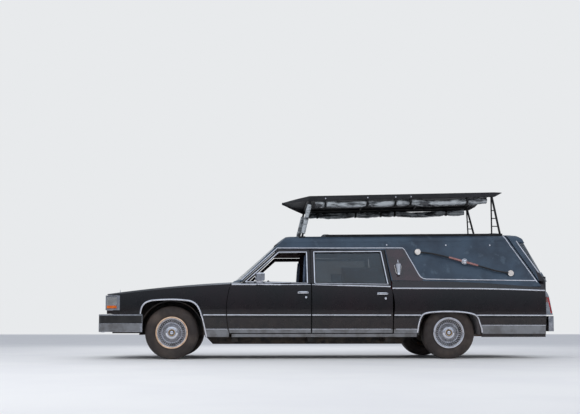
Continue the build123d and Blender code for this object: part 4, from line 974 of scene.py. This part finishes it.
def plates():
    """Blank number plates with their frames."""
    for name, x, out, body in (("front", -3.1725, -1, "root"), ("rear", 3.1605, 1, "rear_door")):
        z = 0.44 if out < 0 else 0.86
        shape = Shape()
        near, far = sorted((x, x - out * 0.004))
        shape.block((near, -0.152, z - 0.076), (far, 0.152, z + 0.076), 0)
        rim = [(x, -0.154, z - 0.078), (x, 0.154, z - 0.078), (x, 0.154, z + 0.078), (x, -0.154, z + 0.078)]
        shape.tube(resampled(rim + rim[:1], 0.02)[:-1], 0.005, 8, 1, True)
        for y in (-0.0889, 0.0889):
            bolt = [(x + out * 0.0005, y, z + 0.055), (x + out * 0.004, y, z + 0.055)]
            shape.tube(bolt, 0.006, 10, 1)
        shape.done("plate_" + name, [PLATE, CHROME], body, "chrome_trim")


def seat_belts():
    for side_name, side in SIDES:
        rows = []
        for x, y, z in ((-0.262, 0.665, 1.440), (-0.275, 0.690, 1.300), (-0.285, 0.715, 1.120), (-0.290, 0.735, 0.960)):
            rows.append([(x - 0.023, side * y, z), (x + 0.023, side * y, z)])
        strap = Shape().grid(rows).done("belt_strap_" + side_name, BELTING, "root", "seat_cloth")
        thicken(strap, 0.0015)


ornament()
plates()
wipers()
lantern_glass()


# Landau irons' bright parts

ROSETTES = [(1.301, 1.489), (1.948, 1.349), (2.594, 1.187)]
SNAPS = [(0.876, 1.591), (1.719, 1.592), (2.350, 1.596)]


def landau_details():
    for side_name, side in SIDES:
        tree = surface("landau_bars")
        for number, (x, z) in enumerate(ROSETTES):
            hit = tree.ray_cast(Vector((x, side * 2, z)), Vector((0, -side, 0)))
            base = hit[0].y if hit[0] else side * 0.80
            shape = Shape()
            rings = [(-0.004, 0.040), (0.003, 0.042), (0.008, 0.037), (0.008, 0.030), (0.013, 0.026), (0.015, 0.014),
                     (0.019, 0.009), (0.020, 0.0005)]
            shape.lathe((x, base, z), side, rings, 40, 0, False)
            shape.done("rosette_%d_%s" % (number, side_name), WIRE if number != 1 else CHROME, "root", "chrome_trim")
        points = []
        for i in range(25):
            share = i / 24
            x = 1.735 + 0.400 * share
            z = 1.412 - 0.118 * share
            hit = tree.ray_cast(Vector((x, side * 2, z)), Vector((0, -side, 0)))
            if hit[0]:
                points.append(hit[0] - Vector((0, side * 0.008, 0)))
        if len(points) > 2:
            radii = [0.015 + 0.003 * math.sin(math.pi * i / (len(points) - 1)) for i in range(len(points))]
            Shape().tube(points, radii, 14, 0).done("landau_sleeve_" + side_name, PINK, "root", "chrome_trim")
        for number, (x, z) in enumerate(SNAPS):
            found = side_hit("side_panels", side, x, z)
            if found:
                shape = Shape().lathe((x, found[0].y, z), side, [(-0.002, 0.010), (0.003, 0.010), (0.005, 0.006),
                                                              (0.006, 0.0005)], 20, 0, False)
                shape.done("snap_%d_%s" % (number, side_name), CHROME, "root", "chrome_trim")


landau_details()


# Canopy

CANOPY_X = (-0.184, 2.409)
CANOPY_HALF = 0.644
CANOPY_RISE = 0.0309
TUBE_Z = 2.255
BOWS = (0.0, 0.34, 0.67, 1.0)
VISOR_TIP = (-0.560, 2.270)
TAIL_TIP = (2.548, 2.356)
CROWN = 0.056
VALANCE = 0.060


def canopy_z(x):
    return TUBE_Z + CANOPY_RISE * (x - CANOPY_X[0])


def edge_line(x):
    """(edge z, crown height, valance depth) of the roof cloth at x."""
    x0, x1 = CANOPY_X[0] - 0.022, CANOPY_X[1] + 0.034
    rise = 0.0225
    if x < x0:
        share = (x - VISOR_TIP[0]) / (x0 - VISOR_TIP[0])
        z = VISOR_TIP[1] + (canopy_z(x0) + rise - VISOR_TIP[1]) * share
        return z, 0.012 + (CROWN - 0.012) * share, max(0.010, VALANCE * share)
    if x > x1:
        share = (x - x1) / (TAIL_TIP[0] - x1)
        start = canopy_z(x1) + rise
        return start + (TAIL_TIP[1] - start) * share, CROWN - 0.006 * share, max(0.003, VALANCE * (1 - share))
    return canopy_z(x) + rise, CROWN, VALANCE


def sag(x):
    """Dip of the cloth between two bows."""
    share = (x - CANOPY_X[0]) / (CANOPY_X[1] - CANOPY_X[0])
    for a, b in zip(BOWS, BOWS[1:]):
        if a <= share <= b:
            return 0.009 * math.sin(math.pi * (share - a) / (b - a)) ** 2
    return 0.0


def half_width(x):
    """Half the cloth's width; the visor narrows to a rounded beak."""
    share = (x - VISOR_TIP[0]) / (CANOPY_X[0] - 0.022 - VISOR_TIP[0])
    return CANOPY_HALF * max(0.02, min(1.0, share)) ** 0.8


def canopy_rows():
    stations = 190
    across = 44
    down = 7
    rows = []
    for i in range(stations + 1):
        x = VISOR_TIP[0] + (TAIL_TIP[0] - VISOR_TIP[0]) * i / stations
        z, crown, depth = edge_line(x)
        half = half_width(x)
        row = []
        for k in range(down, 0, -1):
            share = k / down
            wave = 0.006 * noise.noise(Vector((x * 5, 0.0, share))) * share
            row.append((x, -half - wave - 0.002 * math.sin(math.pi * share), z - depth * share))
        for j in range(across + 1):
            t = -1 + 2 * j / across
            pinned = 1 - t * t
            ripple = 0.0035 * noise.noise(Vector((x * 3.0, t * 4.0, 2.0))) * pinned
            height = z + crown * (1 - t * t) - sag(x) * pinned + ripple
            row.append((x, half * t, height))
        for k in range(1, down + 1):
            share = k / down
            wave = 0.006 * noise.noise(Vector((x * 5, 5.0, share))) * share
            row.append((x, half + wave + 0.002 * math.sin(math.pi * share), z - depth * share))
        rows.append(row)
    return rows


def surface_area(rows):
    total = 0.0
    for a, b in zip(rows, rows[1:]):
        for i in range(len(a) - 1):
            p, q, r, s = (Vector(v) for v in (a[i], a[i + 1], b[i + 1], b[i]))
            total += ((q - p).cross(r - p).length + (r - p).cross(s - p).length) / 2
    return total


def thicken(obj, thickness):
    modifier = obj.modifiers.new("thickness", "SOLIDIFY")
    modifier.thickness = thickness
    modifier.offset = 0


def canopy():
    rows = canopy_rows()
    cover = Shape().grid(rows).done("canopy_cover", CLOTH, "root", "canopy_cloth", sharp=80)
    thicken(cover, 0.0025)
    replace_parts(cover, "canopy_top")
    piping = Shape()
    for column in (0, len(rows[0]) - 1):
        piping.tube([row[column] for row in rows], 0.0045, 6, 0)
    for column in (7, len(rows[0]) - 8):
        piping.tube([Vector(row[column]) + Vector((0, 0, 0.001)) for row in rows], 0.004, 6, 0)
    for row in (rows[0], rows[-1]):
        piping.tube(row, 0.0045, 6, 0)
    trim = piping.done("canopy_piping", WEBBING, "root", "canopy_cloth", sharp=60)
    return surface_area(rows)


STRAPS = (0.02, 0.62, 1.02, 1.24, 2.06)
ROLL_TURNS = 3.0
ROLL_IN = 0.022
ROLL_OUT = 0.045
ROLL_Y = 0.584
ROLL_DROP = 0.079


def roll_path(x, seed):
    """Middle of the rolled curtain, hanging between its straps."""
    stops = (CANOPY_X[0] + 0.06,) + STRAPS + (CANOPY_X[1] - 0.06,)
    dip = 0.0
    for a, b in zip(stops, stops[1:]):
        if a <= x <= b:
            dip = 0.030 * (b - a) * math.sin(math.pi * (x - a) / (b - a))
    sway = 0.006 * noise.noise(Vector((x * 2.1, seed, 0.0)))
    return canopy_z(x) - ROLL_DROP - dip + sway


def roll_rows(side, seed):
    x0, x1 = CANOPY_X[0] + 0.062, CANOPY_X[1] - 0.062
    stations = 230
    count = 72
    rows = []
    for i in range(stations + 1):
        x = x0 + (x1 - x0) * i / stations
        z = roll_path(x, seed)
        tight = min(abs(x - s) for s in STRAPS)
        pinch = 1 - 0.22 * math.exp(-(tight / 0.035) ** 2)
        row = []
        for k in range(count + 1):
            share = k / count
            angle = 2 * math.pi * ROLL_TURNS * share + seed
            radius = (ROLL_IN + (ROLL_OUT - ROLL_IN) * share) * pinch
            crumple = noise.noise(Vector((x * 13, math.cos(angle) * 1.6 + seed, math.sin(angle) * 1.6 + share)))
            fine = noise.noise(Vector((x * 42, math.cos(angle) * 3 + seed, math.sin(angle) * 3)))
            radius += (0.0085 * crumple + 0.003 * fine) * (0.35 + 0.65 * share)
            row.append((x, side * ROLL_Y + radius * math.cos(angle), z + radius * 1.05 * math.sin(angle)))
        rows.append(row)
    return rows


POST_FOOT = Vector((-0.2995, 0.620, 1.755))
POST_HEAD = Vector((-0.2059, 0.620, 2.160))


def sleeve_rows(side, seed):
    """Clear sleeve wrapped round a front post."""
    rows = []
    low = Vector((POST_FOOT.x, side * POST_FOOT.y, POST_FOOT.z))
    high = Vector((POST_HEAD.x, side * POST_HEAD.y, POST_HEAD.z))
    along = (high - low).normalized()
    across = along.orthogonal().normalized()
    other = along.cross(across)
    for i in range(61):
        share = i / 60
        centre = low + (high - low) * share
        row = []
        for k in range(49):
            angle = 2 * math.pi * k / 48 * 1.08
            crumple = noise.noise(Vector((share * 7 + seed, math.cos(angle) * 1.3, math.sin(angle) * 1.3)))
            radius = 0.030 + 0.006 * crumple + 0.0015 * k / 48
            row.append(centre + (across * math.cos(angle) + other * math.sin(angle)) * radius)
        rows.append(row)
    return rows


def curtains():
    for side_name, side in SIDES:
        seed = 1.0 if side < 0 else 4.0
        rows = roll_rows(side, seed)
        roll = Shape().grid(rows).done("curtain_roll_" + side_name, CURTAIN, "root", "clear_vinyl", sharp=80)
        thicken(roll, 0.0012)
        straps = Shape()
        for x in STRAPS:
            loop = []
            z = roll_path(x, seed)
            for k in range(33):
                angle = 2 * math.pi * k / 32
                loop.append((x, side * ROLL_Y + 0.042 * math.cos(angle), z + 0.045 * math.sin(angle)))
            straps.grid([[(x - 0.014, p[1], p[2]), (x + 0.014, p[1], p[2])] for p in loop])
            top = canopy_z(x) + 0.010
            straps.grid([[(x - 0.014, side * 0.6425, top - 0.03), (x + 0.014, side * 0.6425, top - 0.03)],
                         [(x - 0.014, side * 0.640, z + 0.01), (x + 0.014, side * 0.640, z + 0.01)],
                         [(x - 0.014, side * 0.626, z - 0.02), (x + 0.014, side * 0.626, z - 0.02)]])
        band = straps.done("curtain_straps_" + side_name, WEBBING, "root", "canopy_cloth", sharp=60)
        thicken(band, 0.0025)
        buttons = Shape()
        for x in STRAPS[:4]:
            buttons.lathe((x, side * (CANOPY_HALF + 0.003), canopy_z(x) - 0.012), side,
                          [(0.0, 0.010), (0.004, 0.009), (0.006, 0.0005)], 18, 0, False)
        studs = buttons.done("curtain_snaps_" + side_name, CHROME, "root", "chrome_trim")
        sleeve_grid = sleeve_rows(side, seed)
        sleeve = Shape().grid(sleeve_grid).done("post_sleeve_" + side_name, CURTAIN, "root", "clear_vinyl", sharp=80)
        thicken(sleeve, 0.0010)
        if side < 0:
            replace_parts(roll, "curtain_rolls")
        print("curtain", side_name, round(surface_area(rows), 3), round(surface_area(sleeve_grid), 4))


print("canopy area", round(canopy(), 3))
curtains()
seat_belts()


# Seats

def pad_mesh(lo, hi, radius, name):
    """Rounded closed box, ready to be puffed."""
    import bmesh
    mesh = bpy.data.meshes.new(name)
    made = bmesh.new()
    bmesh.ops.create_cube(made, size=1.0)
    size = [h - l for l, h in zip(lo, hi)]
    middle = [(h + l) / 2 for l, h in zip(lo, hi)]
    for v in made.verts:
        v.co = Vector([m + c * s for m, c, s in zip(middle, v.co, size)])
    bmesh.ops.bevel(made, geom=made.edges[:], offset=radius, segments=3, affect="EDGES", profile=0.5)
    made.to_mesh(mesh)
    made.free()
    obj = bpy.data.objects.new(name, mesh)
    scene.collection.objects.link(obj)
    return obj


def puff(obj, voxel, cap):
    """Fills a pad with a little pressure, with each point's travel capped."""
    modifier = obj.modifiers.new("remesh", "REMESH")
    modifier.mode = "VOXEL"
    modifier.voxel_size = voxel
    graph = bpy.context.evaluated_depsgraph_get()
    mesh = bpy.data.meshes.new_from_object(obj.evaluated_get(graph))
    obj.modifiers.clear()
    obj.data = mesh
    rest = [v.co.copy() for v in mesh.vertices]
    modifier = obj.modifiers.new("cloth", "CLOTH")
    modifier.settings.use_pressure = True
    modifier.settings.uniform_pressure_force = 4.0
    modifier.settings.effector_weights.gravity = 0.0
    for step in range(1, 21):
        scene.frame_set(step)
    graph = bpy.context.evaluated_depsgraph_get()
    moved = [v.co.copy() for v in obj.evaluated_get(graph).data.vertices]
    obj.modifiers.clear()
    scene.frame_set(1)
    for vertex, start, end in zip(mesh.vertices, rest, moved):
        move = end - start
        if move.length > cap:
            move = move.normalized() * cap
        vertex.co = start + move
    mesh.update()
    return obj


def channels(obj, axis, places, width, depth, direction):
    """Sewn channels pressed into the side of a pad that faces a direction."""
    push = Vector(direction)
    for vertex in obj.data.vertices:
        near = min(abs(vertex.co[axis] - p) for p in places)
        facing = max(0.0, vertex.normal.dot(push))
        vertex.co -= push * depth * math.exp(-(near / width) ** 2) * facing
    obj.data.update()


def finish_pad(obj, material):
    obj.data.materials.clear()
    obj.data.materials.append(material)
    obj.data.polygons.foreach_set("use_smooth", [True] * len(obj.data.polygons))
    obj.modifiers.new("subdivide", "SUBSURF").render_levels = 1
    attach(obj, "root")
    return obj


def copy_of(obj, name, move, mirror=False):
    """Copy of a finished pad, moved along the car or mirrored across it."""
    mesh = obj.data.copy()
    flip = Matrix.Diagonal((1, -1, 1, 1)) if mirror else Matrix.Identity(4)
    mesh.transform(Matrix.Translation(move) @ flip)
    if mirror:
        mesh.flip_normals()
    made = bpy.data.objects.new(name, mesh)
    scene.collection.objects.link(made)
    return made


BENCH_X = (0.215, 2.455)
BENCH_COUNT = 3
BENCH_Y = (0.378, 0.656)
BENCH_Z = (0.908, 0.978)
REST_Y = (0.634, 0.672)
REST_Z = (0.992, 1.284)


def benches():
    length = (BENCH_X[1] - BENCH_X[0]) / BENCH_COUNT
    x0 = BENCH_X[0]
    low = (x0 + 0.010, -BENCH_Y[1] + 0.006, BENCH_Z[0])
    high = (x0 + length - 0.010, -BENCH_Y[0] - 0.006, BENCH_Z[1])
    base = puff(pad_mesh(low, high, 0.022, "bench_cushion"), 0.008, 0.014)
    channels(base, 0, [x0 + length * k / 6 for k in range(1, 6)], 0.007, 0.009, (0, 0, 1))
    low = (x0 + 0.012, -REST_Y[1], REST_Z[0])
    high = (x0 + length - 0.012, -REST_Y[0], REST_Z[1])
    back = puff(pad_mesh(low, high, 0.014, "bench_back"), 0.008, 0.010)
    channels(back, 0, [x0 + length * k / 6 for k in range(1, 6)], 0.007, 0.006, (0, 1, 0))
    pads = []
    for number in range(BENCH_COUNT):
        for side_name, side in SIDES:
            for part, source in (("cushion", base), ("back", back)):
                name = "bench_%s_%s_%d" % (part, side_name, number)
                pads.append(copy_of(source, name, Vector((length * number, 0, 0)), side > 0))
    for source in (base, back):
        bpy.data.objects.remove(source)
    for number, pad in enumerate(pads):
        finish_pad(pad, SEAT)
    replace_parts(pads[0], "bench_pads")


def seat_block(points, half, radius, name):
    """Closed cushion from its side outline, rounded on every edge."""
    import bmesh
    mesh = bpy.data.meshes.new(name)
    made = bmesh.new()
    left = [made.verts.new((x, -half, z)) for x, z in points]
    right = [made.verts.new((x, half, z)) for x, z in points]
    made.faces.new(left)
    made.faces.new(right[::-1])
    for i in range(len(points)):
        j = (i + 1) % len(points)
        made.faces.new((left[j], left[i], right[i], right[j]))
    bmesh.ops.recalc_face_normals(made, faces=made.faces)
    bmesh.ops.bevel(made, geom=made.edges[:], offset=radius, segments=2, affect="EDGES", profile=0.5)
    made.to_mesh(mesh)
    made.free()
    obj = bpy.data.objects.new(name, mesh)
    scene.collection.objects.link(obj)
    return obj


SEAT_HALF = 0.632
CUSHION = [(-0.734, 0.480), (-0.758, 0.545), (-0.724, 0.600), (-0.270, 0.568), (-0.252, 0.480)]
SEAT_BACK = [(-0.240, 0.480), (-0.240, 0.590), (-0.172, 1.034), (-0.132, 1.060), (-0.100, 1.024), (-0.126, 0.480)]
HEADREST = [(-0.158, 1.072), (-0.154, 1.172), (-0.126, 1.188), (-0.100, 1.170), (-0.108, 1.068)]


def front_seat():
    cushion = puff(seat_block(CUSHION, SEAT_HALF, 0.018, "front_cushion"), 0.011, 0.016)
    channels(cushion, 1, [-0.48, -0.36, -0.24, 0.0, 0.24, 0.36, 0.48], 0.010, 0.012, (0, 0, 1))
    back = puff(seat_block(SEAT_BACK, SEAT_HALF, 0.018, "front_backrest"), 0.011, 0.014)
    channels(back, 1, [-0.48, -0.36, -0.24, 0.0, 0.24, 0.36, 0.48], 0.010, 0.012, (-0.98, 0, 0.15))
    finish_pad(cushion, SEAT)
    finish_pad(back, SEAT)
    for side_name, side in SIDES:
        rest = seat_block(HEADREST, 0.112, 0.010, "headrest_" + side_name)
        rest.data.transform(Matrix.Translation((0, side * 0.38, 0)))
        puff(rest, 0.008, 0.008)
        finish_pad(rest, SEAT)
    base = Shape()
    for side_name, side in SIDES:
        y0, y1 = sorted((side * 0.20, side * 0.59))
        base.block((-0.70, y0, 0.351), (-0.18, y1, 0.474))
    base.done("front_seat_base", DASH, "root", "dash_plastic", bevel=0.008)
    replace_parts(back, "front_seat")


benches()
front_seat()


# Room

FLOOR_COLOUR = rgb(238, 238, 237)


def make_floor():
    mesh = bpy.data.meshes.new("floor")
    size = 60
    mesh.from_pydata([(-size, -size, 0), (size, -size, 0), (size, size, 0), (-size, size, 0)], [], [(0, 1, 2, 3)])
    floor = bpy.data.objects.new("floor", mesh)
    ground = Finish("floor", FLOOR_COLOUR, 0.8).vary(rgb(234, 234, 234), 0.8)
    mesh.materials.append(ground.material)
    scene.collection.objects.link(floor)


def area_light(name, place, target, size, power):
    data = bpy.data.lights.new(name, "AREA")
    data.shape = "RECTANGLE"
    data.size, data.size_y = size
    data.energy = power
    light = bpy.data.objects.new(name, data)
    light.location = place
    light.visible_glossy = False
    light.rotation_mode = "QUATERNION"
    light.rotation_quaternion = (Vector(target) - Vector(place)).to_track_quat("-Z", "Y")
    scene.collection.objects.link(light)


WORLD_LIGHT = 0.6
# height of the reflected ray from and to, and the sky's strength at both
SKY_RISE = (0.0, 0.6, 0.22, 1.0)


def make_world():
    world = bpy.data.worlds.new("studio")
    scene.world = world
    world.use_nodes = True
    tree = world.node_tree
    tree.nodes.clear()
    path = tree.nodes.new("ShaderNodeLightPath")
    seen = None
    for ray in ("Is Camera Ray", "Is Transmission Ray"):
        if seen is None:
            seen = path.outputs[ray]
            continue
        larger = tree.nodes.new("ShaderNodeMath")
        larger.operation = "MAXIMUM"
        tree.links.new(seen, larger.inputs[0])
        tree.links.new(path.outputs[ray], larger.inputs[1])
        seen = larger.outputs[0]
    glossy = path.outputs["Is Glossy Ray"]
    plain = tree.nodes.new("ShaderNodeBackground")
    plain.inputs["Color"].default_value = (0.86, 0.9, 1.0, 1)
    plain.inputs["Strength"].default_value = WORLD_LIGHT
    shown = tree.nodes.new("ShaderNodeBackground")
    shown.inputs["Color"].default_value = rgb(232, 234, 236)
    shown.inputs["Strength"].default_value = 1.0
    mix = tree.nodes.new("ShaderNodeMixShader")
    out = tree.nodes.new("ShaderNodeOutputWorld")
    tree.links.new(seen, mix.inputs[0])
    sky = tree.nodes.new("ShaderNodeBackground")
    sky.inputs["Color"].default_value = (0.8, 0.88, 1.0, 1)
    rise = tree.nodes.new("ShaderNodeMapRange")
    for index, value in enumerate(SKY_RISE):
        rise.inputs[index + 1].default_value = value
    split = tree.nodes.new("ShaderNodeSeparateXYZ")
    tree.links.new(tree.nodes.new("ShaderNodeTexCoord").outputs["Generated"], split.inputs[0])
    tree.links.new(split.outputs["Z"], rise.inputs[0])
    tree.links.new(rise.outputs[0], sky.inputs["Strength"])
    blend = tree.nodes.new("ShaderNodeMixShader")
    tree.links.new(glossy, blend.inputs[0])
    tree.links.new(plain.outputs[0], blend.inputs[1])
    tree.links.new(sky.outputs[0], blend.inputs[2])
    tree.links.new(blend.outputs[0], mix.inputs[1])
    tree.links.new(shown.outputs[0], mix.inputs[2])
    tree.links.new(mix.outputs[0], out.inputs[0])


make_floor()
make_world()
area_light("key", (-6, -8, 7), (0, 0, 1), (6, 4), 420)
area_light("fill", (7, -7, 4), (0, 0, 1), (5, 4), 180)
area_light("back", (0, 7, 6), (0, 0, 1.5), (8, 3), 200)
scene.view_settings.view_transform = "Standard"
